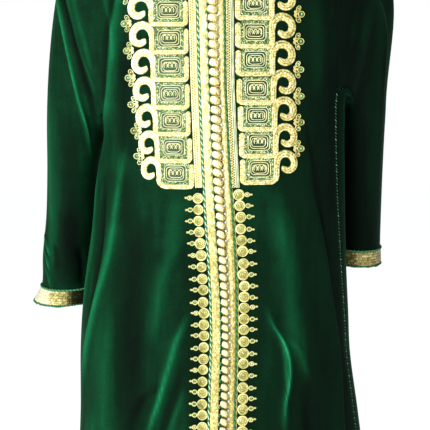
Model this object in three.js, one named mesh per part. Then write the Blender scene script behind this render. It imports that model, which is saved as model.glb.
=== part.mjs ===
// A long velvet tunic with three-quarter sleeves, buttoned down the centre front
// and trimmed with corded braid.
// Millimetres. The front faces -Y and +Z is up. +X is on the right of a viewer who faces the front.
// The origin lies between the high points of the two shoulders, where the wearer carries the tunic.
import * as THREE from 'three';

// ---- driving dimensions ----
const CLOTH = 2;              // velvet with its backing
const SEAM_GAP = 0.4;         // between two cloth edges that are sewn together
const TRIM_LIFT = 0.7;        // between the velvet and the braid that lies on it
const CHEST_Z = -110;         // above this level the cloth turns back over the shoulders
const HEM_Z = -1000;
const NECK = { halfWidth: 72, frontDrop: 92, backDrop: 22, cordRadius: 2.2, clearance: 1.6 };
const SHOULDER_SLOPE = 0.33;
const FRONT_FLATNESS = 0.8;   // 1 is a plain ellipse, less is a flatter front

// Horizontal sections: half widths to the left and right, depths to the front and back.
const SECTIONS = [
  { z: -110, left: 268, right: 250, front: 90, back: 88 },
  { z: -200, left: 245, right: 230, front: 104, back: 96 },
  { z: -278, left: 206, right: 201, front: 115, back: 102 },
  { z: -335, left: 185, right: 198, front: 116, back: 106 },
  { z: -400, left: 194, right: 199, front: 116, back: 110 },
  { z: -480, left: 203, right: 201, front: 118, back: 115 },
  { z: -560, left: 215, right: 204, front: 120, back: 120 },
  { z: -630, left: 223, right: 208, front: 122, back: 125 },
  { z: -700, left: 227, right: 212, front: 124, back: 128 },
  { z: -790, left: 228, right: 225, front: 128, back: 132 },
  { z: -900, left: 234, right: 240, front: 134, back: 138 },
  { z: -1000, left: 242, right: 252, front: 140, back: 145 },
];

// Where the two fronts meet.
const CENTRE_FRONT = [
  { z: -90, x: -12 }, { z: -140, x: -11 }, { z: -430, x: 0 }, { z: -580, x: 6 },
  { z: -665, x: 7 }, { z: -800, x: 5 }, { z: -1000, x: 4 },
];

// Edges of the front and back panels, in degrees round the section from the front.
// They are the armhole down to the underarm, where they meet, and the side seam below it.
const EDGES = {
  left: [
    { z: -110, front: 62, back: 118 }, { z: -180, front: 62, back: 118 }, { z: -228, front: 64, back: 117 },
    { z: -278, front: 68, back: 115 }, { z: -310, front: 74, back: 112 }, { z: -325, front: 83, back: 108 },
    { z: -335, front: 98, back: 98 }, { z: -1000, front: 100, back: 100 },
  ],
  right: [
    { z: -110, front: 59, back: 121 }, { z: -180, front: 57, back: 118 }, { z: -228, front: 56, back: 112 },
    { z: -260, front: 58, back: 96 }, { z: -271, front: 60, back: 81 }, { z: -278, front: 64, back: 64 },
    { z: -430, front: 66, back: 66 },
    { z: -600, front: 71, back: 71 }, { z: -720, front: 73, back: 73 }, { z: -1000, front: 72, back: 72 },
  ],
};

// Levels of the panels' rows. The first rows lie on the shoulder, as shares of the turn over it.
const TURNS = [1, 0.75, 0.5, 0.25];
const LEVELS = [
  -110, -145, -180, -228, -260, -271, -278, -310, -325, -335, -370, -410, -450, -490, -530, -570, -610, -650,
  -690, -730, -775, -820, -865, -910, -955, -1000,
];

// Share of the way across a front panel for each of its columns. The fifth meets the side of the neck.
const FRONT_COLUMNS = {
  left: [0, 0.09, 0.16, 0.195, 0.219, 0.3, 0.39, 0.48, 0.57, 0.66, 0.75, 0.84, 0.92, 1],
  right: [0, 0.12, 0.21, 0.28, 0.315, 0.39, 0.47, 0.55, 0.63, 0.71, 0.79, 0.86, 0.93, 1],
};
const NECK_COLUMNS = 5;
const BACK_COLUMNS = 16;

// Folds of the body: a path down the cloth through three places, how far it reaches to each side,
// and how high it stands (a trough is below zero). x and z are seen from the front.
const FOLDS = [
  { side: 'front', x: [-152, -171, -181], z: [-150, -280, -345], reach: 13, height: 6 },
  { side: 'front', x: [-149, -176, -219], z: [-330, -513, -740], reach: 14, height: 7 },
  { side: 'front', x: [-130, -143, -140], z: [-470, -650, -830], reach: 24, height: -9 },
  { side: 'front', x: [-50, -84, -108], z: [-480, -555, -670], reach: 15, height: 6 },
  { side: 'front', x: [-48, -84, -190], z: [-600, -715, -1150], reach: 13, height: 9 },
  { side: 'front', x: [88, 106, 128], z: [-400, -570, -720], reach: 24, height: 7 },
  { side: 'front', x: [70, 105, 96], z: [-600, -705, -1150], reach: 11, height: 8 },
  { side: 'front', x: [150, 175, 196], z: [-440, -640, -1100], reach: 16, height: 6 },
  { side: 'front', x: [-200, -206, -222], z: [-760, -900, -1200], reach: 16, height: 7 },
  { side: 'back', x: [-120, -135, -165], z: [-300, -600, -1200], reach: 22, height: 10 },
  { side: 'back', x: [-45, -50, -66], z: [-420, -700, -1200], reach: 20, height: 9 },
  { side: 'back', x: [40, 48, 52], z: [-380, -650, -1200], reach: 24, height: 10 },
  { side: 'back', x: [130, 150, 172], z: [-320, -620, -1200], reach: 20, height: 9 },
];
const BEND_RADIUS = 160;      // turns an angle round the section into a length along the cloth

// Rings of the sleeves, from just below the underarm to the wrist end: centre and half widths.
// underarm is the share of the way round a ring that lies below the underarm; 0 is on its outer side.
// spread says how far the cap goes on outwards from the armhole, and droop how steeply it leaves it.
const SLEEVES = {
  left: {
    side: -1,
    underarm: 0.5,
    spread: 0.09,
    droop: 1.3,
    rings: [
      { z: -358, x: -237, y: 42, across: 45, deep: 62 }, { z: -410, x: -240, y: 50, across: 43.5, deep: 62 },
      { z: -484, x: -243.5, y: 58, across: 44, deep: 62 }, { z: -550, x: -251, y: 62, across: 44, deep: 61 },
      { z: -603, x: -255, y: 64, across: 43, deep: 60 }, { z: -629, x: -264, y: 64, across: 47, deep: 60 },
    ],
    levels: [-358, -405, -450, -495, -540, -578, -604, -627, -629],
    folds: [{ around0: 0.07, down0: 0.2, around1: 0.35, down1: 1, reach: 0.035, height: 7 }],
  },
  right: {
    side: 1,
    underarm: 0.36,
    spread: 0.4,
    droop: 0.9,
    rings: [
      { z: -310, x: 232.5, y: 50, across: 38, deep: 66 }, { z: -360, x: 231.5, y: 57, across: 38, deep: 66 },
      { z: -430, x: 230.5, y: 64, across: 38, deep: 66 }, { z: -500, x: 230, y: 69, across: 38, deep: 65 },
      { z: -541, x: 230, y: 71, across: 38, deep: 64 }, { z: -565, x: 231, y: 72, across: 38, deep: 63 },
    ],
    levels: [-310, -355, -400, -445, -490, -522, -540, -563, -565],
    folds: [{ around0: 0.1, down0: 0.2, around1: 0.3, down1: 1, reach: 0.04, height: 6 }],
  },
};
const CAP_STEPS = [0, 0.07, 0.2, 0.4, 0.6, 0.8];   // rows between the armhole and the first ring

// Trims down the centre front. Two cords edge the band: this is how far they lie from the centre front.
const PLASTRON_END = -420;
const TRIM_TOP = -94;
const TRIM_END = HEM_Z + 4;
const CORD_LINES = [
  { z: -90, left: -23.5, right: 17.2 }, { z: -171, left: -23.8, right: 16.9 },
  { z: -259, left: -24.8, right: 14.6 }, { z: -348, left: -24.8, right: 15 },
  { z: -408, left: -24.5, right: 16 }, { z: -461, left: -24, right: 17.7 },
  { z: -545, left: -22.3, right: 19 }, { z: -637, left: -21.4, right: 18.3 },
  { z: -747, left: -22.7, right: 17.5 }, { z: -1000, left: -22.7, right: 17.5 },
];
const EDGE_CORDS = [{ name: 'cord_left', line: 'left' }, { name: 'cord_right', line: 'right' }];
const CORD_RADIUS = 1.3;

// Edges of the braids: so far from a cord's line, or with no line from the centre front.
const BRAIDS = [
  { name: 'braid_left', from: { line: 'left', plus: 1.9 }, to: { line: 'left', plus: 12.7 },
    end: TRIM_END, thick: 2 },
  { name: 'braid_right', from: { plus: 5.9 }, to: { line: 'right', plus: -1.9 }, end: TRIM_END, thick: 2 },
  { name: 'chevron_left', from: { line: 'left', plus: -11.2 }, to: { line: 'left', plus: -2 },
    end: PLASTRON_END, thick: 1.4 },
  { name: 'chevron_right', from: { line: 'right', plus: 2 }, to: { line: 'right', plus: 7.3 },
    end: PLASTRON_END, thick: 1.4 },
  { name: 'smooth_braid_right', from: { line: 'right', plus: 7.7 }, to: { line: 'right', plus: 12.8 },
    end: PLASTRON_END, thick: 1.4 },
];
const BUTTON = {
  from: -98, at: -1.1, halfWidth: 6.4, halfHeight: 3.4, neckWidth: 3.6, neckHeight: 2.2, slant: 3,
};
// The buttons are sewn on a little unevenly, so their pitch changes down the row.
const BUTTON_PITCH = [
  { z: -90, pitch: 12.8 }, { z: -170, pitch: 12.8 }, { z: -255, pitch: 14 }, { z: -365, pitch: 13.4 },
  { z: -498, pitch: 13.3 }, { z: -629, pitch: 12.9 }, { z: -735, pitch: 13.5 }, { z: -1000, pitch: 13.4 },
];

// Plastron: square tablets with a scroll on the outer side, one below the other.
const TABLET = { count: 8, halfHeight: 19.4, corner: 3, lift: 1.1, thick: 2.5 };
// The scroll's band has an outer and an inner radius, which shrink as it curls in to its end.
const SCROLL = { fromBar: 16, from: 70, curlsFrom: 190, to: 322, steps: 9 };
const SCROLL_RADII = [{ start: 22, end: 11.5 }, { start: 9.6, end: 2.2 }];
// The scrolls get narrower, flatter and higher on their tablets from one to the next one down.
const SCROLL_CHANGE = { flatter: 0.015, tall: 1.04, rise: 0.35 };
const PLASTRON = {
  left: {
    side: -1, top: -118.6, pitch: 40.05, fromCentre: 66.4, halfWidth: 28.9, bar: 24.6,
    up: 2.8, narrower: 0.037,
  },
  right: {
    side: 1, top: -106.7, pitch: 40.8, fromCentre: 60.6, halfWidth: 30.1, bar: 25.4,
    up: 5.3, narrower: 0.02,
  },
};

// Spike trims below the plastron. They start beside the edge cords.
const SPIKE = { besideCord: 1.8, strip: 2, wideAt: 7, halfTall: 8, tip: 26.5, thick: 1.6 };
const SPIKE_ROWS = {
  left: { side: -1, top: -436.4, pitch: 17.7, count: 32 },
  right: { side: 1, top: -431.2, pitch: 17.45, count: 32 },
};

const CUFF = { thick: 1.8, cordRadius: 1.6 };
const SIDE_STITCH = { halfWidth: 1.8, thick: 0.9 };

// ---- materials ----
const finish = (color, roughness, metalness) => (
  new THREE.MeshStandardMaterial({ color, roughness, metalness })
);
const velvet = finish(0x0e4a2c, 0.75, 0);
const gold = finish(0xe3cf86, 0.45, 0.35);
const paleGold = finish(0xf0e3b4, 0.5, 0.25);
const greenCord = finish(0x3f8f6c, 0.6, 0);

// ---- small helpers ----
const radians = THREE.MathUtils.degToRad;
const mix = THREE.MathUtils.lerp;
const ramp = (value) => THREE.MathUtils.smoothstep(value, 0, 1);

// A smooth curve through a table's column, read at a level z. The rows run downwards.
function readTable(table, column, z) {
  const last = table.length - 1;
  let row = 0;
  while (row < last - 1 && z < table[row + 1].z) row += 1;
  const slope = (index) => {
    const above = table[Math.max(index - 1, 0)];
    const below = table[Math.min(index + 1, last)];
    return (below[column] - above[column]) / (below.z - above.z);
  };
  const [start, end] = [table[row], table[row + 1]];
  const span = end.z - start.z;
  const share = THREE.MathUtils.clamp((z - start.z) / span, 0, 1);
  const bend = share * share * (3 - 2 * share);
  const leave = share * (1 - share) ** 2 * span * slope(row);
  const arrive = share * share * (share - 1) * span * slope(row + 1);
  return mix(start[column], end[column], bend) + leave + arrive;
}

// The same with straight lines between the rows.
function readStraight(table, column, z) {
  let row = 0;
  while (row < table.length - 2 && z < table[row + 1].z) row += 1;
  const [start, end] = [table[row], table[row + 1]];
  const share = THREE.MathUtils.clamp((z - start.z) / (end.z - start.z), 0, 1);
  return mix(start[column], end[column], share);
}

const centreFront = (z) => readTable(CENTRE_FRONT, 'x', z);

// ---- the surface of the body ----
// Height of the folds at an angle (radians from the front, left below zero) and a level.
function foldHeight(angle, z) {
  const isBack = Math.cos(angle) < 0;
  let height = 0;
  for (const fold of FOLDS) {
    const [top, middle, end] = fold.z;
    const down = (top - z) / (top - end);
    if (down <= 0 || down >= 1) continue;
    const x = throughThree(...fold.x, (top - middle) / (top - end), down);
    const width = readTable(SECTIONS, x < 0 ? 'left' : 'right', z);
    const frontAngle = Math.asin(THREE.MathUtils.clamp(x / width, -0.985, 0.985));
    const sameSide = fold.side === 'back' ? Math.PI - Math.abs(frontAngle) : Math.abs(frontAngle);
    const away = Math.abs(angle - Math.sign(x) * sameSide) * BEND_RADIUS / fold.reach;
    if (away > 3.2 || (isBack && fold.side === 'front' && Math.abs(angle) > 2.1)) continue;
    const fade = ramp(down / 0.3) * ramp((1 - down) / 0.3);
    height += fold.height * fade * Math.exp(-away * away * 0.9);
  }
  return height;
}

// A parabola through (0, a), (middle, b) and (1, c), read at a share.
function throughThree(a, b, c, middle, share) {
  const first = a * (share - middle) * (share - 1) / middle;
  const second = b * share * (share - 1) / (middle * (middle - 1));
  const third = c * share * (share - middle) / (1 - middle);
  return first + second + third;
}

function bodyPoint(angle, z) {
  const width = readTable(SECTIONS, angle < 0 ? 'left' : 'right', z);
  const depth = readTable(SECTIONS, Math.cos(angle) > 0 ? 'front' : 'back', z);
  const cosine = Math.cos(angle);
  const flat = cosine > 0 ? cosine ** FRONT_FLATNESS : cosine;
  const outward = new THREE.Vector2(Math.sin(angle) / width, -cosine / depth).normalize();
  const fold = foldHeight(angle, z);
  const x = width * Math.sin(angle) + outward.x * fold;
  return new THREE.Vector3(x, -depth * flat + outward.y * fold, z);
}

// Above the chest the surface turns back over the shoulder. A turn of 1 reaches the seam or the neckline.
function shoulderPoint(angle, turn) {
  const start = bodyPoint(angle, CHEST_Z);
  const side = Math.abs(start.x);
  const crest = -Math.max(side - NECK.halfWidth, 0) * SHOULDER_SLOPE;
  const rise = crest - CHEST_Z;
  let end = Math.acos(Math.min(0.5 * SEAM_GAP / Math.abs(start.y), 1));
  if (side < NECK.halfWidth - 1) {
    const drop = Math.cos(angle) > 0 ? NECK.frontDrop : NECK.backDrop;
    const neckline = -drop * Math.sqrt(1 - (side / NECK.halfWidth) ** 2);
    end = Math.min(end, Math.asin((neckline - CHEST_Z) / rise));
  }
  const lift = Math.sin(end * turn);
  const across = start.x * (1 - 0.03 * lift);
  return new THREE.Vector3(across, start.y * Math.cos(end * turn), CHEST_Z + rise * lift);
}

const surfacePoint = (angle, row) => (
  row.turn === undefined ? bodyPoint(angle, row.z) : shoulderPoint(angle, row.turn));

// Unit normal of the surface, pointing out of the body.
function surfaceNormal(angle, row) {
  const step = 0.004;
  const across = surfacePoint(angle + step, row).sub(surfacePoint(angle - step, row));
  const [above, below] = row.turn === undefined
    ? [{ z: Math.min(row.z + 1, CHEST_Z) }, { z: row.z - 1 }]
    : [{ turn: Math.min(row.turn + 0.02, 1) }, { turn: row.turn - 0.02 }];
  const up = surfacePoint(angle, above).sub(surfacePoint(angle, below));
  return across.cross(up).normalize();
}

const ROWS = [...TURNS.map((turn) => ({ turn })), ...LEVELS.map((z) => ({ z }))];
const rowLevel = (row) => row.z ?? CHEST_Z;
const edgeAngle = (side, panel, row) => radians(readStraight(EDGES[side], panel, rowLevel(row)));

// ---- grids of surface points ----
// A grid is an array of rows; each place in it holds a point and a normal.
function panelGrid(angleAt, columns) {
  return ROWS.map((row) => columns.map((share) => {
    const angle = angleAt(row, share);
    return { point: surfacePoint(angle, row), normal: surfaceNormal(angle, row) };
  }));
}

function frontGrid(side) {
  const sign = side === 'left' ? -1 : 1;
  return panelGrid((row, share) => {
    const z = rowLevel(row);
    const start = Math.asin(centreFront(z) / readTable(SECTIONS, 'left', z));
    return mix(start, sign * edgeAngle(side, 'front', row), share);
  }, FRONT_COLUMNS[side]);
}

function backGrid() {
  const columns = Array.from({ length: BACK_COLUMNS + 1 }, (_, index) => index / BACK_COLUMNS);
  return panelGrid((row, share) => {
    const right = edgeAngle('right', 'back', row);
    const left = 2 * Math.PI - edgeAngle('left', 'back', row);
    const angle = mix(right, left, share);
    return angle > Math.PI ? angle - 2 * Math.PI : angle;
  }, columns);
}

// Draws every edge of a grid back by half a seam gap, within the surface.
function insetGrid(grid) {
  const lastRow = grid.length - 1;
  const lastColumn = grid[0].length - 1;
  const inset = grid.map((line) => line.map(({ point, normal }) => ({ point: point.clone(), normal })));
  const draw = (row, column, before, after, inner) => {
    const along = after.point.clone().sub(before.point);
    const inward = along.cross(grid[row][column].normal).normalize();
    const toInner = inner.point.clone().sub(grid[row][column].point);
    inward.multiplyScalar(Math.sign(inward.dot(toInner)) * SEAM_GAP / 2);
    inset[row][column].point.add(inward);
  };
  for (let row = 0; row <= lastRow; row += 1) {
    const [before, after] = [grid[Math.max(row - 1, 0)], grid[Math.min(row + 1, lastRow)]];
    draw(row, 0, before[0], after[0], grid[row][1]);
    draw(row, lastColumn, before[lastColumn], after[lastColumn], grid[row][lastColumn - 1]);
  }
  return inset;
}

// ---- closed bodies ----
// A plate covers faces of three or four corners, given by index and seen from outside against the clock.
// Its lower side is lifted off the surface, and its open borders are closed by walls.
function plateGeometry(places, faces, lift, thick) {
  const position = [];
  for (const height of [lift, lift + thick]) {
    for (const { point, normal } of places) position.push(...point.clone().addScaledVector(normal, height));
  }
  const count = places.length;
  const index = [];
  const borders = new Map();
  const fan = (corners) => {
    for (let k = 1; k < corners.length - 1; k += 1) index.push(corners[0], corners[k], corners[k + 1]);
  };
  for (const face of faces) {
    fan(face.map((corner) => corner + count));
    fan([face[0], ...face.slice(1).reverse()]);
    face.forEach((from, k) => {
      const to = face[(k + 1) % face.length];
      if (!borders.delete(`${to},${from}`)) borders.set(`${from},${to}`, [from, to]);
    });
  }
  for (const [from, to] of borders.values()) fan([from, to, to + count, from + count]);
  return bodyGeometry(position, index);
}

// Builds the geometry, with its faces turned outwards.
function bodyGeometry(position, index) {
  let volume = 0;
  const corner = (k) => new THREE.Vector3().fromArray(position, 3 * index[k]);
  for (let k = 0; k < index.length; k += 3) volume += corner(k).dot(corner(k + 1).cross(corner(k + 2)));
  if (volume < 0) {
    for (let k = 0; k < index.length; k += 3) [index[k], index[k + 1]] = [index[k + 1], index[k]];
  }
  const geometry = new THREE.BufferGeometry();
  geometry.setAttribute('position', new THREE.Float32BufferAttribute(position, 3));
  geometry.setIndex(index);
  geometry.computeVertexNormals();
  return geometry;
}

// The faces of a grid of places laid out row by row. A ring's last column meets its first.
function gridFaces(rows, columns, isRing = false) {
  const faces = [];
  const cells = isRing ? columns : columns - 1;
  for (let row = 0; row < rows - 1; row += 1) {
    for (let column = 0; column < cells; column += 1) {
      const next = (column + 1) % columns;
      const [top, bottom] = [row * columns, (row + 1) * columns];
      faces.push([top + column, bottom + column, bottom + next, top + next]);
    }
  }
  return faces;
}

const gridPlate = (grid, lift, thick, isRing) => (
  plateGeometry(grid.flat(), gridFaces(grid.length, grid[0].length, isRing), lift, thick));

// A cord or chain along stations. Each has a centre, an outward and a sideways direction and its half sizes.
function chainGeometry(stations, sides, isRing) {
  const position = [];
  for (const { centre, outward, sideways, high, wide } of stations) {
    for (let k = 0; k < sides; k += 1) {
      const turn = 2 * Math.PI * (k + 0.5) / sides;
      const corner = centre.clone().addScaledVector(outward, high * Math.cos(turn));
      position.push(...corner.addScaledVector(sideways, wide * Math.sin(turn)));
    }
  }
  const index = [];
  const count = stations.length;
  for (let row = 0; row < (isRing ? count : count - 1); row += 1) {
    for (let k = 0; k < sides; k += 1) {
      const [a, b] = [row * sides + k, row * sides + (k + 1) % sides];
      const [c, d] = [((row + 1) % count) * sides + k, ((row + 1) % count) * sides + (k + 1) % sides];
      index.push(a, b, d, a, d, c);
    }
  }
  for (let k = 1; k < sides - 1 && !isRing; k += 1) {
    const end = (count - 1) * sides;
    index.push(0, k + 1, k, end, end + k, end + k + 1);
  }
  return bodyGeometry(position, index);
}

// ---- sleeves ----
// The armhole, round from the tip of the shoulder, down the front to the underarm and up the back.
function armhole(frontPanel, backPanel, frontColumn, backColumn) {
  const low = ROWS.findIndex((row, k) => (
    frontPanel[k][frontColumn].point.distanceTo(backPanel[k][backColumn].point) < 0.01 && k > TURNS.length));
  const tip = frontPanel[0][frontColumn];
  const loop = [{ point: tip.point.clone().setY(0), normal: tip.normal }];
  for (let k = 1; k <= low; k += 1) loop.push(frontPanel[k][frontColumn]);
  for (let k = low - 1; k > 0; k -= 1) loop.push(backPanel[k][backColumn]);
  return loop;
}

function sleeveGrid(loop, { side, underarm, spread, droop, rings, levels, folds }) {
  const count = loop.length;
  const at = (k) => loop[(k + count) % count];
  const lengths = [0];
  for (let k = 1; k <= count; k += 1) lengths.push(lengths[k - 1] + at(k).point.distanceTo(at(k - 1).point));
  const low = loop.reduce((best, place, k) => (place.point.z < loop[best].point.z ? k : best), 0);
  const around = loop.map((_, k) => (k <= low
    ? underarm * lengths[k] / lengths[low]
    : mix(underarm, 1, (lengths[k] - lengths[low]) / (lengths[count] - lengths[low]))));
  const ringPoint = (share, z) => {
    const turn = 2 * Math.PI * share;
    const read = (column) => readTable(rings, column, z);
    return new THREE.Vector3(
      read('x') + side * read('across') * Math.cos(turn), read('y') - read('deep') * Math.sin(turn), z);
  };
  const starts = loop.map(({ point, normal }, k) => {
    const along = at(k + 1).point.clone().sub(at(k - 1).point).normalize();
    const leave = along.cross(normal).normalize().multiplyScalar(-side);
    const under = Math.max(leave.z, 0);
    const start = point.clone().addScaledVector(leave, SEAM_GAP / 2).addScaledVector(normal, 0.3 * under);
    const fall = droop * (1 - Math.max(normal.z, 0)) ** 2 * (1 - 0.6 * under);
    const tangent = leave.addScaledVector(normal, 2.5 * under);
    tangent.z -= fall + 0.8 * under;
    return { start, tangent: tangent.normalize(), under, normal };
  });
  const grid = CAP_STEPS.map((down) => starts.map(({ start, tangent, under }, k) => {
    const end = ringPoint(around[k], levels[0]);
    const far = start.distanceTo(end);
    const leave = start.clone().addScaledVector(tangent, mix(spread, 0.4, under) * far);
    const arrive = end.clone().add(new THREE.Vector3(0, 0, 0.4 * far));
    return { point: new THREE.CubicBezierCurve3(start, leave, arrive, end).getPoint(down) };
  }));
  for (const z of levels) grid.push(around.map((share) => ({ point: ringPoint(share, z) })));
  setRingNormals(grid);
  raiseSleeveFolds(grid, around, folds);
  setRingNormals(grid);
  grid[0].forEach((place, k) => {
    const keep = ramp(starts[k].under * 2);
    place.normal = starts[k].normal.clone().lerp(place.normal, keep).normalize();
  });
  return grid;
}

function setRingNormals(grid) {
  const lastRow = grid.length - 1;
  const count = grid[0].length;
  const centre = new THREE.Vector3();
  grid.forEach((line) => line.forEach(({ point }) => centre.add(point)));
  centre.divideScalar(grid.length * count);
  const flip = Math.sign(centre.x);
  grid.forEach((line, row) => line.forEach((place, k) => {
    const around = line[(k + 1) % count].point.clone().sub(line[(k + count - 1) % count].point);
    const down = grid[Math.min(row + 1, lastRow)][k].point.clone().sub(grid[Math.max(row - 1, 0)][k].point);
    place.normal = around.cross(down).normalize().multiplyScalar(flip);
  }));
}

function raiseSleeveFolds(grid, around, folds) {
  for (const fold of folds) {
    CAP_STEPS.forEach((down, row) => grid[row].forEach(({ point, normal }, k) => {
      const share = (down - fold.down0) / (fold.down1 - fold.down0);
      if (share <= 0) return;
      const away = (around[k] - mix(fold.around0, fold.around1, share)) / fold.reach;
      const height = fold.height * ramp(share / 0.3) * ramp((1 - share) / 0.3) * Math.exp(-away * away);
      point.addScaledVector(normal, height);
    }));
  }
}

// ---- places on the fronts ----
const fronts = { left: frontGrid('left'), right: frontGrid('right') };
const back = backGrid();
const lastFront = FRONT_COLUMNS.left.length - 1;

// The place on a front panel's facets that is seen at x and z from the front.
function onFront(side, x, z) {
  const grid = fronts[side];
  let best = null;
  for (const [a, b, c] of frontTriangles(grid)) {
    const area = cross2(a.point, b.point, c.point);
    const weights = [[b, c], [c, a], [a, b]].map(([p, q]) => cross2Free(x, z, p.point, q.point) / area);
    const least = Math.min(...weights);
    if (best === null || least > best.least) best = { least, weights, corners: [a, b, c] };
    if (least >= -1e-9) break;
  }
  const point = new THREE.Vector3();
  const normal = new THREE.Vector3();
  best.corners.forEach((corner, k) => {
    point.addScaledVector(corner.point, best.weights[k]);
    normal.addScaledVector(corner.normal, best.weights[k]);
  });
  return { point, normal: normal.normalize() };
}

const cross2 = (a, b, c) => cross2Free(a.x, a.z, b, c);
const cross2Free = (x, z, b, c) => (b.x - x) * (c.z - z) - (b.z - z) * (c.x - x);

function* frontTriangles(grid) {
  for (const face of gridFaces(grid.length, grid[0].length)) {
    const [a, b, c, d] = face.map((k) => grid[Math.floor(k / grid[0].length)][k % grid[0].length]);
    yield [a, b, c];
    yield [a, c, d];
  }
}

const sideOf = (offset) => (offset < 0 ? 'left' : 'right');
const besideCentre = (offset, z) => onFront(sideOf(offset), centreFront(z) + offset, z);
const cordLine = (line, z) => readTable(CORD_LINES, line, z);
const edgeOffset = ({ line, plus }, z) => plus + (line ? cordLine(line, z) : 0);

// Levels of a trim's rows: its own ends and the panels' rows between them.
const trimLevels = (top, end) => [top, ...LEVELS.filter((z) => z < top - 6 && z > end + 6), end];

// ---- the pieces ----
const tunic = new THREE.Group();
tunic.name = 'tunic';

function addPiece(name, geometry, material) {
  const mesh = new THREE.Mesh(geometry, material);
  mesh.name = name;
  tunic.add(mesh);
}

function addCloth() {
  addPiece('front_left', gridPlate(insetGrid(fronts.left), -CLOTH, CLOTH), velvet);
  addPiece('front_right', gridPlate(insetGrid(fronts.right), -CLOTH, CLOTH), velvet);
  addPiece('back', gridPlate(insetGrid(back), -CLOTH, CLOTH), velvet);
}

function addSleeve(name, backColumn) {
  const grid = sleeveGrid(armhole(fronts[name], back, lastFront, backColumn), SLEEVES[name]);
  addPiece(`sleeve_${name}`, gridPlate(grid, -CLOTH, CLOTH, true), velvet);
  const band = grid.slice(-3, -1);
  addPiece(`cuff_${name}`, gridPlate(band, TRIM_LIFT, CUFF.thick, true), gold);
  addCuffCord(`cuff_cord_upper_${name}`, band[0], CUFF.cordRadius + 0.5, TRIM_LIFT + CUFF.cordRadius);
  addCuffCord(`cuff_cord_lower_${name}`, grid[grid.length - 1], -CUFF.cordRadius - 0.5, 0);
}

function addCuffCord(name, line, rise, lift) {
  const up = new THREE.Vector3(0, 0, 1);
  const stations = line.map(({ point, normal }) => ({
    centre: point.clone().addScaledVector(normal, lift).addScaledVector(up, rise),
    outward: normal, sideways: up, high: CUFF.cordRadius, wide: CUFF.cordRadius,
  }));
  addPiece(name, chainGeometry(stations, 4, true), greenCord);
}

function addNeckBinding() {
  const lift = NECK.cordRadius + NECK.clearance;
  const backNeck = back[0].filter(({ point }) => Math.abs(point.x) < NECK.halfWidth - 4);
  const leftNeck = fronts.left[0].slice(0, NECK_COLUMNS).reverse();
  const edge = [...leftNeck, ...fronts.right[0].slice(1, NECK_COLUMNS), ...backNeck];
  const stations = edge.map(({ point, normal }, k) => {
    const along = edge[(k + 1) % edge.length].point.clone().sub(edge.at(k - 1).point);
    const away = normal.clone().cross(along).normalize();
    const centre = point.clone().addScaledVector(away, lift).addScaledVector(normal, -CLOTH / 2);
    return { centre, outward: normal, sideways: away, high: NECK.cordRadius, wide: NECK.cordRadius };
  });
  addPiece('neck_binding', chainGeometry(stations, 6, true), velvet);
}

function addBraids() {
  for (const { name, from, to, end, thick } of BRAIDS) {
    const acrossAt = (z) => [from, to].map((edge) => besideCentre(edgeOffset(edge, z), z));
    const grid = trimLevels(TRIM_TOP, end).map(acrossAt);
    addPiece(name, gridPlate(grid, TRIM_LIFT, thick), gold);
  }
  for (const { name, line } of EDGE_CORDS) {
    const stations = trimLevels(TRIM_TOP, TRIM_END).map((z) => {
      const { point, normal } = besideCentre(cordLine(line, z), z);
      const centre = point.clone().addScaledVector(normal, TRIM_LIFT + CORD_RADIUS);
      const sideways = new THREE.Vector3(1, 0, 0);
      return { centre, outward: normal, sideways, high: CORD_RADIUS, wide: CORD_RADIUS };
    });
    addPiece(name, chainGeometry(stations, 4, false), greenCord);
  }
}

// Knot buttons one below the other, as one chain that is wide at each knot and narrow between two.
function addButtons() {
  const stations = [];
  const sideways = new THREE.Vector3(1, 0, 0);
  const station = (z, wide, high, slant) => {
    const { point, normal } = besideCentre(BUTTON.at, z);
    const centre = point.addScaledVector(normal, BUTTON.halfHeight + TRIM_LIFT + 0.3);
    const across = sideways.clone().setZ(-slant / wide).normalize();
    stations.push({ centre, outward: normal, sideways: across, high, wide });
  };
  let pitch = 0;
  for (let z = BUTTON.from; z > TRIM_END + 14; z -= pitch) {
    pitch = readTable(BUTTON_PITCH, 'pitch', z - 6.5);
    station(z, BUTTON.neckWidth, BUTTON.neckHeight, 0);
    station(z - pitch / 2, BUTTON.halfWidth, BUTTON.halfHeight, BUTTON.slant);
  }
  addPiece('button_row', chainGeometry(stations, 5, false), paleGold);
}

// One tablet: a square plate, and a band that leaves its upper outer corner and curls round a scroll.
function tabletShape({ halfWidth, bar, up: scrollUp, narrower }, number) {
  const { halfHeight, corner } = TABLET;
  const wide = 1 - narrower * number;
  const tall = SCROLL_CHANGE.tall - SCROLL_CHANGE.flatter * number;
  const middle = { out: bar + SCROLL.fromBar * wide, up: scrollUp + SCROLL_CHANGE.rise * number };
  const places = [];
  const faces = [];
  for (const up of [halfHeight, halfHeight * 0.4, -halfHeight * 0.3, -halfHeight]) {
    const outer = up === -halfHeight ? halfWidth - corner : halfWidth;
    for (const out of [-halfWidth, 0, outer]) places.push([out, up]);
  }
  faces.push(...gridFaces(4, 3));
  let [upper, lower] = [2, 5];
  for (let k = 0; k <= SCROLL.steps; k += 1) {
    const degrees = mix(SCROLL.from, SCROLL.to, k / SCROLL.steps);
    const turn = radians(degrees);
    const curl = ramp((degrees - SCROLL.curlsFrom) / (SCROLL.to - SCROLL.curlsFrom));
    for (const { start, end } of SCROLL_RADII) {
      const radius = mix(start, end, curl);
      places.push([middle.out - radius * wide * Math.cos(turn), middle.up + radius * tall * Math.sin(turn)]);
    }
    const [outer, inner] = [places.length - 2, places.length - 1];
    faces.push([upper, lower, inner, outer]);
    [upper, lower] = [outer, inner];
  }
  return { places, faces };
}

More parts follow.
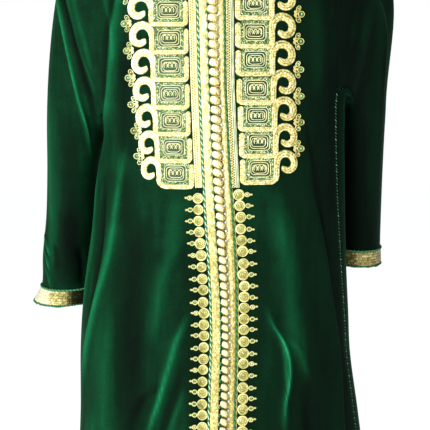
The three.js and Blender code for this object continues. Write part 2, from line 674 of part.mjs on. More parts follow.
function addPlastron() {
  for (const [name, column] of Object.entries(PLASTRON)) {
    const { side, top, pitch, fromCentre } = column;
    for (let k = 0; k < TABLET.count; k += 1) {
      const { places, faces } = tabletShape(column, k);
      const z = top - k * pitch;
      const middle = centreFront(z) + side * fromCentre;
      const laid = places.map(([out, up]) => onFront(name, middle + side * out, z + up));
      addPiece(`tablet_${name}_${k + 1}`, plateGeometry(laid, faces, TABLET.lift, TABLET.thick), paleGold);
    }
  }
}

// A spike trim: a narrow strip with a tooth for each spike, wide at its large disc and narrow at its tip.
function addSpikes(name) {
  const { side, top, pitch, count } = SPIKE_ROWS[name];
  const places = [];
  const faces = [];
  const add = (out, z) => {
    const offset = cordLine(name, z) + side * (SPIKE.besideCord + out);
    return places.push(besideCentre(offset, z)) - 1;
  };
  let above = null;
  for (let k = 0; k < count; k += 1) {
    const z = top - k * pitch;
    const strip = [3, -3].map((up) => [add(0, z + up), add(SPIKE.strip, z + up)]);
    const disc = [SPIKE.halfTall, -SPIKE.halfTall].map((up) => add(SPIKE.strip + SPIKE.wideAt, z + up));
    const tip = [1.5, -1.5].map((up) => add(SPIKE.strip + SPIKE.tip, z + up));
    if (above) faces.push([above[0], strip[0][0], strip[0][1], above[1]]);
    faces.push([strip[0][0], strip[1][0], strip[1][1], strip[0][1]]);
    faces.push([strip[0][1], strip[1][1], disc[1], disc[0]], [disc[0], disc[1], tip[1], tip[0]]);
    above = strip[1];
  }
  addPiece(`spikes_${name}`, plateGeometry(places, faces, TRIM_LIFT, SPIKE.thick), gold);
}

// The raised hand seam over each side seam, from the underarm to the hem.
function addSideStitch(name, frontPanel, backColumn, inner) {
  const underarm = EDGES[name].find(({ front, back: behind }) => front === behind).z;
  const grid = [];
  ROWS.forEach((row, k) => {
    if (!(row.z < underarm) || row.z <= HEM_Z) return;
    const seam = frontPanel[k][lastFront];
    const toward = (place) => {
      const step = place.point.clone().sub(seam.point).setLength(SIDE_STITCH.halfWidth);
      return { point: seam.point.clone().add(step), normal: seam.normal };
    };
    grid.push([toward(frontPanel[k][lastFront - 1]), toward(back[k][inner])]);
  });
  addPiece(`side_stitch_${name}`, gridPlate(grid, TRIM_LIFT, SIDE_STITCH.thick), greenCord);
}

addCloth();
addSleeve('left', BACK_COLUMNS);
addSleeve('right', 0);
addNeckBinding();
addBraids();
addButtons();
addPlastron();
addSpikes('left');
addSpikes('right');
addSideStitch('left', fronts.left, BACK_COLUMNS, BACK_COLUMNS - 1);
addSideStitch('right', fronts.right, 0, 1);

export default tunic;
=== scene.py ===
import math
import bpy
import numpy as np
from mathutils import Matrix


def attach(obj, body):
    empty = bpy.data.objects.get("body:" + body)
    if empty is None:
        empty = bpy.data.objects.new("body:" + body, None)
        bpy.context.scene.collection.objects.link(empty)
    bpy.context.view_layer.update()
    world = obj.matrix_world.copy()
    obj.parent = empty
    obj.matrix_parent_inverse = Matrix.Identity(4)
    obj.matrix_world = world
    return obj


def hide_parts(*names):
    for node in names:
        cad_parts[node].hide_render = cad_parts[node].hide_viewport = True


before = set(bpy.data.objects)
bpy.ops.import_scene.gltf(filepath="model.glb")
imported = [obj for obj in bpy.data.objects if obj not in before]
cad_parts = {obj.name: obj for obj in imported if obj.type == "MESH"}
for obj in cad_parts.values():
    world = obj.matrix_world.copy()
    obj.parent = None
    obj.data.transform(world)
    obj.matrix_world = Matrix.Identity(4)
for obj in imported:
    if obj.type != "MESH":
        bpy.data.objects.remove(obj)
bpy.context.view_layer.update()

# A long velvet tunic, worn by nobody. Sizes are millimetres in the row's frame, and meshes are in metres.
MM = 0.001
rng = np.random.default_rng(7)

# ---- materials ----


class Nodes:
    """A material's node tree, with short calls to fill it."""

    def __init__(self, name):
        self.material = bpy.data.materials.new(name)
        self.material.use_nodes = True
        self.tree = self.material.node_tree
        self.shader = self.tree.nodes["Principled BSDF"]

    def add(self, kind, **inputs):
        node = self.tree.nodes.new(kind)
        for key, value in inputs.items():
            self.put(node.inputs[key], value)
        return node

    def put(self, socket, value):
        if isinstance(value, bpy.types.NodeSocket):
            self.tree.links.new(value, socket)
        else:
            socket.default_value = value

    def math(self, operation, *values):
        node = self.add("ShaderNodeMath")
        node.operation = operation
        for socket, value in zip(node.inputs, values):
            self.put(socket, value)
        return node.outputs[0]

    def ramp(self, factor, stops):
        """Colours along a factor. A stop is its place, red, green and blue."""
        node = self.add("ShaderNodeValToRGB", Fac=factor)
        elements = node.color_ramp.elements
        while len(elements) < len(stops):
            elements.new(0.5)
        for element, (place, *color) in zip(elements, stops):
            element.position = place
            element.color = (*color, 1)
        return node.outputs["Color"]

    def noise(self, scale, detail=2.0, vector=None):
        vector = vector or self.add("ShaderNodeTexCoord").outputs["Object"]
        return self.add("ShaderNodeTexNoise", Scale=scale, Detail=detail, Vector=vector).outputs["Fac"]

    def attribute(self, name):
        node = self.add("ShaderNodeAttribute")
        node.attribute_name = name
        return node.outputs["Fac"]

    def bump(self, height, strength, distance):
        node = self.add("ShaderNodeBump", Height=height, Strength=strength, Distance=distance)
        self.put(self.shader.inputs["Normal"], node.outputs["Normal"])

    def set(self, **inputs):
        for key, value in inputs.items():
            self.put(self.shader.inputs[key.replace("_", " ")], value)
        return self.material


def velvet_material():
    """Deep green pile, darker or brighter with the painted light and shade of its folds, with brushed
    patches.
    """
    m = Nodes("velvet")
    where = m.add("ShaderNodeTexCoord").outputs["Object"]
    brushed = m.add("ShaderNodeMapping", Vector=where, Scale=(1, 1, 0.14)).outputs["Vector"]
    # The pile's base tone, with the painted light and shade of the folds and painted shade on the side away
    # from the light.
    tone = m.attribute("tone_and_painted_light")
    for noise, amount in ((m.noise(9.0, 3.0), 0.16), (m.noise(75.0, 4.0, brushed), 0.22),
                          (m.noise(48.0, 4.0), 0.12), (m.noise(300.0), 0.16)):
        tone = m.math("ADD", tone, m.math("MULTIPLY_ADD", noise, amount, -amount / 2))
    color = m.ramp(tone, [
        (0.0, 0.0008, 0.004, 0.002), (0.3, 0.001, 0.014, 0.005), (0.55, 0.002, 0.045, 0.016),
        (0.8, 0.004, 0.11, 0.04), (1.0, 0.02, 0.24, 0.11)])
    m.bump(m.noise(1500.0), 0.25, 0.0004)
    return m.set(Base_Color=color, Roughness=0.8, Specular_IOR_Level=0.05, Sheen_Weight=0.2,
                 Sheen_Roughness=0.3, Sheen_Tint=(0.05, 0.6, 0.26, 1))


def metal_thread(name, stops, metallic, roughness, scale):
    """Gold thread wound on cotton, uneven in tone. Its shade runs along the stops."""
    m = Nodes(name)
    grain = m.math("MULTIPLY_ADD", m.noise(scale, 3.0), 0.45, -0.225)
    color = m.ramp(m.math("ADD", m.attribute("shade"), grain), stops)
    m.bump(m.noise(scale * 1.6), 0.5, 0.0006)
    return m.set(Base_Color=color, Metallic=metallic, Roughness=roughness)


def thread(name, stops, roughness=0.55, scale=900.0):
    """Twisted rayon thread or beads. Its shade runs along the stops."""
    m = Nodes(name)
    tone = m.math("MULTIPLY_ADD", m.noise(scale), 0.3, m.math("SUBTRACT", m.attribute("shade"), 0.15))
    m.bump(m.noise(scale), 0.4, 0.0003)
    return m.set(Base_Color=m.ramp(tone, stops), Roughness=roughness, Sheen_Weight=0.1, Sheen_Roughness=0.4)


GOLD_STOPS = [
    (0.0, 0.08, 0.055, 0.01), (0.35, 0.38, 0.30, 0.06), (0.65, 0.71, 0.62, 0.22), (1.0, 1.0, 0.99, 0.76)]
VELVET = velvet_material()
GOLD = metal_thread("gold_thread", GOLD_STOPS, 0.25, 0.45, 520.0)
PALE_GOLD = metal_thread("pale_gold_thread", GOLD_STOPS, 0.15, 0.45, 620.0)
BUTTON_SILK = metal_thread("button_silk", [
    (0.0, 0.03, 0.035, 0.006), (0.3, 0.30, 0.19, 0.035), (0.6, 0.64, 0.51, 0.17), (1.0, 0.96, 0.93, 0.68)],
    0.05, 0.5, 480.0)
DISC_GOLD = metal_thread("disc_gold", [
    (0.0, 0.06, 0.07, 0.012), (0.35, 0.34, 0.31, 0.07), (0.65, 0.66, 0.60, 0.20), (1.0, 0.98, 0.94, 0.52)],
    0.2, 0.42, 600.0)
CUFF_GOLD = metal_thread("cuff_gold", [
    (0.0, 0.02, 0.025, 0.008), (0.4, 0.26, 0.21, 0.05), (0.75, 0.62, 0.54, 0.2), (1.0, 0.98, 0.95, 0.66)],
    0.3, 0.4, 900.0)
FINE = metal_thread("fine_cords", [
    (0.0, 0.01, 0.05, 0.01), (0.4, 0.2, 0.26, 0.06), (0.75, 0.72, 0.68, 0.28), (1.0, 1.0, 0.97, 0.6)],
    0.15, 0.45, 500.0)
SILVER = thread("silver_bead", [(0.0, 0.45, 0.56, 0.6), (1.0, 0.75, 0.88, 0.92)], 0.25, 300.0)
GREEN = thread("green_thread", [
    (0.0, 0.002, 0.03, 0.012), (0.5, 0.004, 0.22, 0.085), (0.7, 0.25, 0.5, 0.24), (1.0, 0.85, 0.92, 0.66)])
PALE = thread("pale_thread", [(0.0, 0.06, 0.11, 0.04), (0.5, 0.32, 0.38, 0.2), (1.0, 0.82, 0.86, 0.62)])
LEAF_GREEN = thread("leaf_green_thread", [
    (0.0, 0.002, 0.03, 0.004), (0.5, 0.012, 0.17, 0.025), (0.8, 0.2, 0.42, 0.1), (1.0, 0.85, 0.86, 0.5)])
BEADS = thread("beads", [
    (0.0, 0.05, 0.15, 0.03), (0.35, 0.26, 0.48, 0.16), (0.65, 0.66, 0.76, 0.34), (1.0, 0.97, 1.0, 0.9)],
    0.25, 300.0)

# ---- camera and light ----
CAMERA = {"place": (-8, -1920, -230), "down": 7.35, "lens": 100.47}
# Area lights, in metres: where they stand, what they face, their size, power and color.
LIGHTS = {
    "key": ((-1.2, -1.8, 0.1), (0, 0, -0.4), (1.0, 1.3), 60, (0.97, 1, 0.94)),
    "fill": ((1.6, -2.4, -0.2), (0, 0, -0.5), (1.2, 1.8), 12, (1, 0.98, 0.94)),
}
# The world's color and strength: what lights the cloth, and what lies behind it in the picture.
ROOM_LIGHT = ((0.92, 0.97, 1, 1), 0.22)
BACKDROP = ((1, 1, 1, 1), 1.0)
FLOOR = {"half_size": 9.0, "level": -1.42}


def put_in_scene(name, data):
    thing = bpy.data.objects.new(name, data)
    bpy.context.scene.collection.objects.link(thing)
    return thing


def add_camera():
    data = bpy.data.cameras.new("camera")
    data.lens = CAMERA["lens"]
    data.clip_end = 60
    camera = put_in_scene("camera", data)
    camera.location = [value * MM for value in CAMERA["place"]]
    camera.rotation_euler = (math.radians(90 - CAMERA["down"]), 0, 0)
    bpy.context.scene.camera = camera


def add_area(name, place, target, size, power, color):
    data = bpy.data.lights.new(name, "AREA")
    data.shape = "RECTANGLE"
    data.size, data.size_y = size
    data.energy = power
    data.color = color
    light = put_in_scene(name, data)
    light.location = place
    x, y, z = np.array(place, float) - np.array(target, float)
    light.rotation_euler = (math.atan2(math.hypot(x, y), z), 0, math.atan2(x, -y))


def add_world():
    """White to the camera, and a little cool light on the cloth."""
    world = bpy.data.worlds.new("world")
    bpy.context.scene.world = world
    world.use_nodes = True
    nodes, links = world.node_tree.nodes, world.node_tree.links
    nodes.clear()
    either = nodes.new("ShaderNodeMixShader")
    links.new(nodes.new("ShaderNodeLightPath").outputs["Is Camera Ray"], either.inputs["Fac"])
    for socket, (color, strength) in zip(either.inputs[1:], (ROOM_LIGHT, BACKDROP)):
        background = nodes.new("ShaderNodeBackground")
        background.inputs["Color"].default_value = color
        background.inputs["Strength"].default_value = strength
        links.new(background.outputs["Background"], socket)
    links.new(either.outputs["Shader"], nodes.new("ShaderNodeOutputWorld").inputs["Surface"])


def add_floor():
    mesh = bpy.data.meshes.new("floor")
    corners = [(x * FLOOR["half_size"], y * FLOOR["half_size"], FLOOR["level"])
               for x, y in ((-1, -1), (1, -1), (1, 1), (-1, 1))]
    mesh.from_pydata(corners, [], [(0, 1, 2, 3)])
    mesh.materials.append(Nodes("floor_white").set(
        Base_Color=(0.9, 0.9, 0.9, 1), Roughness=0.9, Emission_Color=(1, 1, 1, 1), Emission_Strength=0.8))
    put_in_scene("floor", mesh)


add_camera()
for name, light in LIGHTS.items():
    add_area(name, *light)
add_world()
add_floor()
bpy.context.scene.view_settings.view_transform = "Standard"

# ---- sizes of the tunic ----
CLOTH = 2.0
CHEST_Z = -110
HEM_Z = -1000
NECK = {"half_width": 72, "front_drop": 92, "back_drop": 22}
SHOULDER_SLOPE = 0.33
SHOULDER_LEAN = 0.03
SHOULDER_GAP = 0.2
FRONT_FLATNESS = 0.8
SEAM = {"dip": 1.1, "wide": 2.6}
BASE_NAP = 0.36
# Painted shade on the right side, away from the light: from this x, over so far, how much darker.
SHADED_SIDE = {"from": 20, "over": 190, "darker": 0.32}
SIDES = {"left": -1, "right": 1}

SECTIONS = {
    "z": [-110, -200, -278, -335, -400, -480, -560, -630, -700, -790, -900, -1000],
    "left": [268, 245, 206, 185, 194, 203, 215, 223, 227, 228, 234, 242],
    "right": [250, 230, 201, 198, 199, 201, 204, 208, 212, 225, 240, 252],
    "front": [90, 104, 115, 116, 116, 118, 120, 122, 124, 128, 134, 140],
    "back": [88, 96, 102, 106, 110, 115, 120, 125, 128, 132, 138, 145],
}
CENTRE_FRONT = {"z": [-90, -140, -430, -580, -665, -800, -1000], "x": [-12, -11, 0, 6, 7, 5, 4]}
EDGES = {
    "left": {
        "z": [-110, -180, -228, -278, -310, -325, -335, -1000],
        "front": [62, 62, 64, 68, 74, 83, 98, 100],
        "back": [118, 118, 117, 115, 112, 108, 98, 100],
        "underarm": -335,
    },
    "right": {
        "z": [-110, -180, -228, -260, -271, -278, -430, -600, -720, -1000],
        "front": [59, 57, 56, 58, 60, 64, 66, 71, 73, 72],
        "back": [121, 118, 112, 96, 81, 64, 66, 71, 73, 72],
        "underarm": -278,
    },
}

# Folds of the body and sleeves: their reach to the left (towards -x) and right of their path, the height of
# their ridge (a trough is below zero), how much painted light their pile gets there (painted shade below
# zero), and the path as (x, z). A fold with no height is only a band of painted light or shade.
LEFT, RIGHT, HIGH, PAINTED_LIGHT, PATH = range(5)
FRONT_FOLDS = [
    # from the left armhole down
    (5, 12, 6, 0.32, [(-149, -110), (-162, -185), (-170, -275), (-176, -310), (-184, -370)]),
    (4, 4, -2, -0.22, [(-158, -110), (-171, -185), (-179, -275), (-184, -310)]),
    (10, 16, -2, -0.26, [(-140, -190), (-146, -260), (-148, -330), (-142, -400)]),
    (13, 4, 7, 0.42, [(-137, -316), (-143, -360), (-154, -434), (-168, -524), (-195, -620), (-217, -740),
        (-226, -800)]),
    (9, 5, 3, 0.32, [(-190, -360), (-194, -424), (-202, -524), (-213, -589), (-220, -660)]),
    (5, 6, -4, -0.32, [(-182, -380), (-181, -438), (-188, -528), (-204, -618), (-218, -690)]),
    (16, 12, 2, 0.16, [(-60, -424), (-66, -470), (-76, -530)]),
    (30, 12, 7, 0.22, [(-168, -560), (-176, -700), (-178, -830), (-182, -1000)]),
    (22, 22, -9, -0.3, [(-128, -440), (-136, -560), (-140, -680), (-138, -840)]),
    # left of the braid
    (12, 9, 6, 0.22, [(-50, -480), (-70, -520), (-86, -558), (-95, -611), (-106, -680)]),
    (6, 9, 8, 0.3, [(-40, -590), (-52, -625), (-68, -655), (-78, -690), (-90, -735), (-104, -780),
        (-122, -830)]),
    (3, 4, 0, 0.22, [(-46, -606), (-62, -646), (-76, -690), (-90, -740), (-104, -782), (-122, -830)]),
    (8, 8, -4, -0.2, [(-92, -716), (-104, -735), (-122, -752), (-136, -780), (-150, -850)]),
    (9, 12, 5, 0.16, [(-40, -720), (-52, -780), (-66, -860), (-84, -1000)]),
    # right of the braid
    (16, 20, 7, 0.3, [(86, -400), (92, -480), (104, -540), (108, -600), (124, -680), (134, -740)]),
    (5, 8, 8, 0.24, [(62, -584), (78, -628), (95, -660), (102, -680), (105, -704), (104, -726), (99, -756),
        (98, -860)]),
    (2.2, 3, 1, 0.5, [(72, -604), (79, -630), (95, -660), (102, -680), (105, -704), (104, -726), (99, -756),
        (97, -800)]),
    (2, 2, 1, 0.3, [(88, -650), (97, -676), (100, -704), (102, -730), (106, -745)]),
    (7, 7, 3, 0.18, [(96, -640), (122, -680), (140, -730)]),
    (22, 3.5, 5, 0.16, [(130, -360), (139, -424), (157, -500), (172, -600), (183, -665), (190, -740),
        (200, -1000)]),
    (14, 10, 3, 0.16, [(146, -120), (150, -200), (152, -290)]),
    (14, 14, -7, -0.16, [(136, -700), (142, -800), (150, -900), (156, -1000)]),
    (14, 14, 5, 0.12, [(-200, -760), (-206, -900), (-212, -1000)]),
    # creases beside the armholes and the braid, and bands of painted light and shade with no ridge
    (4, 6, -2, -0.14, [(126, -290), (134, -340), (144, -391), (158, -485), (170, -570)]),
    (8, 9, 0, 0.07, [(152, -250), (160, -340), (168, -430), (178, -540)]),
    (9, 3, 1, 0.2, [(-226, -110), (-223, -138), (-215, -176), (-206, -205), (-199, -239), (-190, -270)]),
    (3, 5, 2, 0.2, [(-181, -110), (-175, -138), (-168, -170), (-162, -205), (-164, -250)]),
    (22, 14, 0, -0.2, [(-38, -440), (-34, -600), (-37, -720), (-38, -1000)]),
    (12, 14, 0, -0.14, [(40, -440), (44, -600), (45, -720), (42, -1000)]),
    (30, 26, 0, -0.12, [(-150, -390), (-152, -440), (-156, -500)]),
    (18, 14, 0, -0.12, [(168, -180), (172, -320), (176, -520)]),
    (6, 6, -2, -0.22, [(-50, -680), (-71, -742), (-87, -795), (-104, -860)]),
    (4, 5, 2, 0.26, [(-54, -722), (-62, -752), (-78, -796), (-96, -860)]),
]
BACK_FOLDS = [
    (18, 22, 10, 0.3, [(-120, -300), (-135, -600), (-155, -1000)]),
    (20, 16, 9, 0.26, [(-45, -420), (-50, -700), (-60, -1000)]),
    (24, 18, 10, 0.28, [(40, -380), (48, -650), (52, -1000)]),
    (16, 20, 9, 0.26, [(130, -320), (150, -620), (166, -1000)]),
    (16, 16, -5, -0.2, [(-88, -360), (-94, -700), (-100, -1000)]),
    (16, 16, -5, -0.2, [(88, -340), (98, -700), (104, -1000)]),
    (12, 9, 4, 0.14, [(-150, -140), (-128, -230), (-96, -330)]),
    (9, 12, 4, 0.14, [(146, -140), (122, -220), (92, -310)]),
]
SLEEVE_FOLDS = {
    "left": [
        (4, 3, 5, 0.5, [(-258, -90), (-251, -138), (-240, -194), (-233, -230), (-222, -288), (-212, -335),
            (-203, -400)]),
        (5, 5, -3, -0.42, [(-248, -90), (-242, -138), (-231, -180), (-221, -222), (-212, -257), (-203, -290),
            (-196, -340)]),
        (2.5, 4, 3, 0.34, [(-242, -90), (-235, -138), (-227, -168), (-218, -205), (-207, -239), (-199, -264),
            (-191, -300)]),
        (12, 12, 0, 0.2, [(-278, -90), (-278, -150), (-276, -200)]),
        (12, 16, 0, 0.28, [(-276, -240), (-276, -450), (-276, -600)]),
        (16, 16, -2, -0.18, [(-240, -300), (-238, -420), (-238, -600)]),
        (2.4, 3, 3, 0.4, [(-289, -508), (-286, -522), (-281, -536), (-277, -550)]),
        (2.4, 3, 3, 0.4, [(-289, -536), (-285, -547), (-281, -560), (-278, -574)]),
        (4, 4, -2, -0.2, [(-272, -520), (-266, -542), (-264, -575)]),
        (3, 4, 2, 0.25, [(-290, -560), (-284, -572), (-279, -588), (-276, -605)]),
        (18, 22, 0, -0.24, [(-246, -450), (-245, -540), (-244, -612)]),
        (7, 6, -4, -0.26, [(-228, -525), (-224, -560), (-226, -600)]),
    ],
    "right": [
        (7, 9, 4, 0.24, [(230, -90), (214, -130), (204, -170), (196, -220)]),
        (8, 10, 4, 0.2, [(246, -90), (230, -160), (214, -230), (206, -300), (204, -380)]),
        (12, 10, 0, 0.2, [(254, -110), (250, -300), (250, -540)]),
        (14, 14, 0, -0.14, [(208, -180), (208, -240), (206, -310)]),
        (14, 14, -3, -0.14, [(226, -300), (226, -420), (226, -540)]),
    ],
}
FOLD_FADE = 0.28              # share of a fold's length in which it starts or ends
FOLD_SHARPNESS = 0.9          # how steeply a fold's sides fall away
FOLD_EDGE = 0.985             # how near to the side of the body a fold's path can come, as a share

SLEEVES = {
    "left": {
        "underarm": 0.5, "spread": 0.09, "droop": 1.3,
        "rings": {
            "z": [-358, -410, -484, -550, -603, -629], "x": [-234, -240, -243.5, -251, -255, -264],
            "y": [42, 50, 58, 62, 64, 64],
            "across": [48, 43.5, 44, 44, 43, 47], "deep": [62, 62, 62, 61, 60, 60],
        },
        "cuff": (-604, -627),
    },
    "right": {
        "underarm": 0.36, "spread": 0.4, "droop": 0.9,
        "rings": {
            "z": [-310, -360, -430, -500, -541, -565], "x": [232.5, 231.5, 230.5, 230, 230, 231],
            "y": [50, 57, 64, 69, 71, 72],
            "across": [38, 38, 38, 38, 38, 38], "deep": [66, 66, 66, 65, 64, 63],
        },
        "cuff": (-540, -563),
    },
}


# ---- curves through tables ----
def mix(start, end, share):
    return start + (end - start) * share


def ramp(value):
    value = np.clip(value, 0, 1)
    return value * value * (3 - 2 * value)


def unit(vectors):
    return vectors / np.maximum(np.linalg.norm(vectors, axis=-1, keepdims=True), 1e-9)


def smooth_read(levels, values, z):
    """A smooth curve through values at falling levels, read at z."""
    levels, values = np.array(levels, float), np.array(values, float)
    last = len(levels) - 1
    after, before = np.minimum(np.arange(last + 1) + 1, last), np.maximum(np.arange(last + 1) - 1, 0)
    slopes = (values[after] - values[before]) / (levels[after] - levels[before])
    z = np.asarray(z, float)
    row = np.clip(np.searchsorted(-levels, -z, side="left") - 1, 0, last - 1)
    span = levels[row + 1] - levels[row]
    share = np.clip((z - levels[row]) / span, 0, 1)
    leave = share * (1 - share) ** 2 * span * slopes[row]
    arrive = share * share * (share - 1) * span * slopes[row + 1]
    return mix(values[row], values[row + 1], ramp(share)) + leave + arrive


def heading(points, closed=False):
    """Unit vectors along a path."""
    return unit(np.roll(points, -1, 0) - np.roll(points, 1, 0) if closed else np.gradient(points, axis=0))


def lengths_along(points, closed=False):
    """How far along a path its points lie. A closed path comes back to its first point."""
    if closed:
        points = np.concatenate([points, points[:1]])
    return np.concatenate([[0], np.cumsum(np.linalg.norm(np.diff(points, axis=0), axis=1))])


def circle(count):
    return 2 * np.pi * np.arange(count) / count


def oval(turn, wide, high):
    return np.stack([wide * np.cos(turn), high * np.sin(turn)], -1)


def blend(table, row, column):
    """Reads a grid between its points. Its last column is followed by its first."""
    i, j = np.minimum(row.astype(int), len(table) - 2), np.minimum(column.astype(int), table.shape[1] - 1)
    k = (j + 1) % table.shape[1]
    a, b = row - i, column - j
    if table.ndim == 3:
        a, b = a[..., None], b[..., None]
    return (table[i, j] * (1 - a) * (1 - b) + table[i + 1, j] * a * (1 - b)
            + table[i, k] * (1 - a) * b + table[i + 1, k] * a * b)


def centre_front(z):
    return smooth_read(CENTRE_FRONT["z"], CENTRE_FRONT["x"], z)


def section(column, z):
    return smooth_read(SECTIONS["z"], SECTIONS[column], z)


def half_width(x, z):
    return np.where(x < 0, section("left", z), section("right", z))


def half_sizes(angle, z):
    """The half width and the half depth of the body on the side that an angle is on."""
    return half_width(np.sin(angle), z), np.where(np.cos(angle) > 0, section("front", z), section("back", z))


# ---- the surface of the body ----
def fold_line(fold, z):
    """A fold's x at a level."""
    x, levels = zip(*fold[PATH])
    return smooth_read(levels, x, z)


def fold_strength(fold, away, z):
    """Folds start and end softly, except where they run on past the hem or over the shoulder."""
    top, end = fold[PATH][0][1], fold[PATH][-1][1]
    down = (top - z) / (top - end)
    begin = 1.0 if top >= CHEST_Z else ramp(down / FOLD_FADE)
    finish = 1.0 if end <= HEM_Z else ramp((1 - down) / FOLD_FADE)
    shown = (down <= 1) & ((down >= 0) | (top >= CHEST_Z))
    profile = np.exp(-(away / np.where(away < 0, fold[LEFT], fold[RIGHT])) ** 2 * FOLD_SHARPNESS)
    return profile * np.where(shown, begin * finish, 0)


def body_folds(angle, z):
    """The height of the folds and the painted light and shade they add, at angles round the body and at
    levels.
    """
    height = np.zeros(np.broadcast(angle, z).shape)
    tone_and_painted_light = np.zeros_like(height)
    sine, cosine = np.sin(angle), np.cos(angle)
    width, depth = half_sizes(angle, z)
    metric = np.hypot(width * cosine, depth * sine)
    for folds, is_back in ((FRONT_FOLDS, False), (BACK_FOLDS, True)):
        for fold in folds:
            x = fold_line(fold, z)
            place = np.arcsin(np.clip(x / half_width(x, z), -FOLD_EDGE, FOLD_EDGE))
            if is_back:
                place = np.where(place < 0, -np.pi - place, np.pi - place)
            turn = np.mod(angle - place + np.pi, 2 * np.pi) - np.pi
            strength = fold_strength(fold, turn * metric * (-1 if is_back else 1), z)
            height += fold[HIGH] * strength
            tone_and_painted_light += fold[PAINTED_LIGHT] * strength
    return height, tone_and_painted_light


def body_points(angle, z):
    """Points of the cloth's outer side, and the painted light and shade of the folds there."""
    cosine = np.cos(angle)
    width, depth = half_sizes(angle, z)
    flat = np.where(cosine > 0, np.abs(cosine) ** FRONT_FLATNESS, cosine)
    outward = unit(np.stack([np.sin(angle) / width, -cosine / depth], -1))
    height, tone_and_painted_light = body_folds(angle, z)
    x = width * np.sin(angle) + outward[..., 0] * height
    y = -depth * flat + outward[..., 1] * height
    return np.stack([x, y, z + 0 * x], -1), tone_and_painted_light


def shoulder_rise(x):
    """How high the shoulder seam lies above the chest."""
    return -np.maximum(np.abs(x) - NECK["half_width"], 0) * SHOULDER_SLOPE - CHEST_Z


def shoulder_end(start, cosine):
    """How far the cloth turns back over the shoulder: to the seam, or to the neckline."""
    rise = shoulder_rise(start[..., 0])
    end = np.arccos(np.minimum(SHOULDER_GAP / np.maximum(np.abs(start[..., 1]), 1e-6), 1))
    drop = np.where(cosine > 0, NECK["front_drop"], NECK["back_drop"])
    inside = np.maximum(1 - (start[..., 0] / NECK["half_width"]) ** 2, 0)
    at_neck = np.arcsin(np.clip((-drop * np.sqrt(inside) - CHEST_Z) / rise, -1, 1))
    return np.where(inside > 0, np.minimum(end, at_neck), end), rise


def body_surface(angle, turn, z):
    """Points at an angle on rows that lie on the shoulder (turn above 0) or at a level (turn 0)."""
    angle, turn, z = np.broadcast_arrays(angle, turn, z)
    start, tone_and_painted_light = body_points(angle, np.where(turn > 0, CHEST_Z, z))
    end, rise = shoulder_end(start, np.cos(angle))
    lift = np.sin(end * turn)
    over = turn > 0
    x = np.where(over, start[..., 0] * (1 - SHOULDER_LEAN * lift), start[..., 0])
    y = np.where(over, start[..., 1] * np.cos(end * turn), start[..., 1])
    return np.stack([x, y, np.where(over, CHEST_Z + rise * lift, z)], -1), tone_and_painted_light


LEVEL_STEP = 4.0


def stepped(stops):
    """Levels from stop to stop, no further apart than LEVEL_STEP."""
    parts = [np.linspace(start, end, max(math.ceil(abs(end - start) / LEVEL_STEP), 1), endpoint=False)
             for start, end in zip(stops[:-1], stops[1:])]
    return np.append(np.concatenate(parts), stops[-1])


# The rows of the body's cloth: over the shoulder as shares of the way round it, then levels down to the hem.
TURNS = np.linspace(1, 0.05, 22)
LEVELS = stepped([CHEST_Z, -180, -228, -260, -271, -278, -310, -325, -335, HEM_Z])
ROW_TURNS = np.concatenate([TURNS, 0 * LEVELS])
ROW_LEVELS = np.concatenate([0 * TURNS + CHEST_Z, LEVELS])


def edge_angle(side, panel, z):
    return np.radians(np.interp(-z, -np.array(EDGES[side]["z"]), EDGES[side][panel]))


def underarm_row(side):
    return len(TURNS) + int(np.argmin(np.abs(LEVELS - EDGES[side]["underarm"])))


def dense_ends(count):
    """Shares from 0 to 1 that close up towards both ends, where the seams are."""
    near = np.array([0.0, 0.006, 0.014, 0.025])
    return np.concatenate([near, np.linspace(0.04, 0.96, count), 1 - near[::-1]])


def grid_normals(points, ring=False):
    across = np.roll(points, -1, 1) - np.roll(points, 1, 1) if ring else np.gradient(points, axis=1)
    return unit(np.cross(across, np.gradient(points, axis=0)))


def panel(start, end, columns, facing, seams):
    """A grid of cloth from angle to angle, with its normals and the painted light and shade of its folds. It
    dips along its seams.
    """
    angle = mix(start[:, None], end[:, None], dense_ends(columns))
    points, tone_and_painted_light = body_surface(angle, ROW_TURNS[:, None], ROW_LEVELS[:, None])
    normals = outward_front(grid_normals(points)) * facing
    return sink_seam(points, normals, seams), normals, tone_and_painted_light


def front_panel(side):
    start = np.arcsin(centre_front(ROW_LEVELS) / section("left", ROW_LEVELS))
    return panel(start, SIDES[side] * edge_angle(side, "front", ROW_LEVELS), 84, 1, [-1])


def back_panel():
    start = edge_angle("right", "back", ROW_LEVELS)
    return panel(start, 2 * np.pi - edge_angle("left", "back", ROW_LEVELS), 120, -1, [0, -1])


def outward_front(normals):
    """Turns a grid's normals so that most of them face the front."""
    return normals if normals[..., 1].sum() < 0 else -normals


def outward(points, normals):
    """Turns a grid's normals so that they point away from its middle line."""
    away = (points - points.mean((0, 1))) * np.array([1, 1, 0])
    return normals if np.sum(away * normals) > 0 else -normals


def sink_seam(points, normals, columns):
    """Draws the cloth in along the seams at these ends of its rows."""
    steps = np.linalg.norm(np.diff(points, axis=1), axis=-1)
    along = np.concatenate([np.zeros((len(points), 1)), np.cumsum(steps, 1)], 1)
    for column in columns:
        away = np.abs(along - along[:, column][:, None])
        points = points - normals * (SEAM["dip"] * np.exp(-(away / SEAM["wide"]) ** 2))[..., None]
    return points


# ---- meshes ----
class Heap:
    """Gathers shapes into one mesh. Points are millimetres."""

    def __init__(self):
        self.points, self.faces, self.values = [], [], []
        self.count = 0

    def add(self, points, faces, values):
        points = np.asarray(points, float).reshape(-1, 3)
        self.points.append(points)
        self.faces.append(faces + self.count)
        self.values.append(np.broadcast_to(np.asarray(values, float), (len(points),)))
        self.count += len(points)


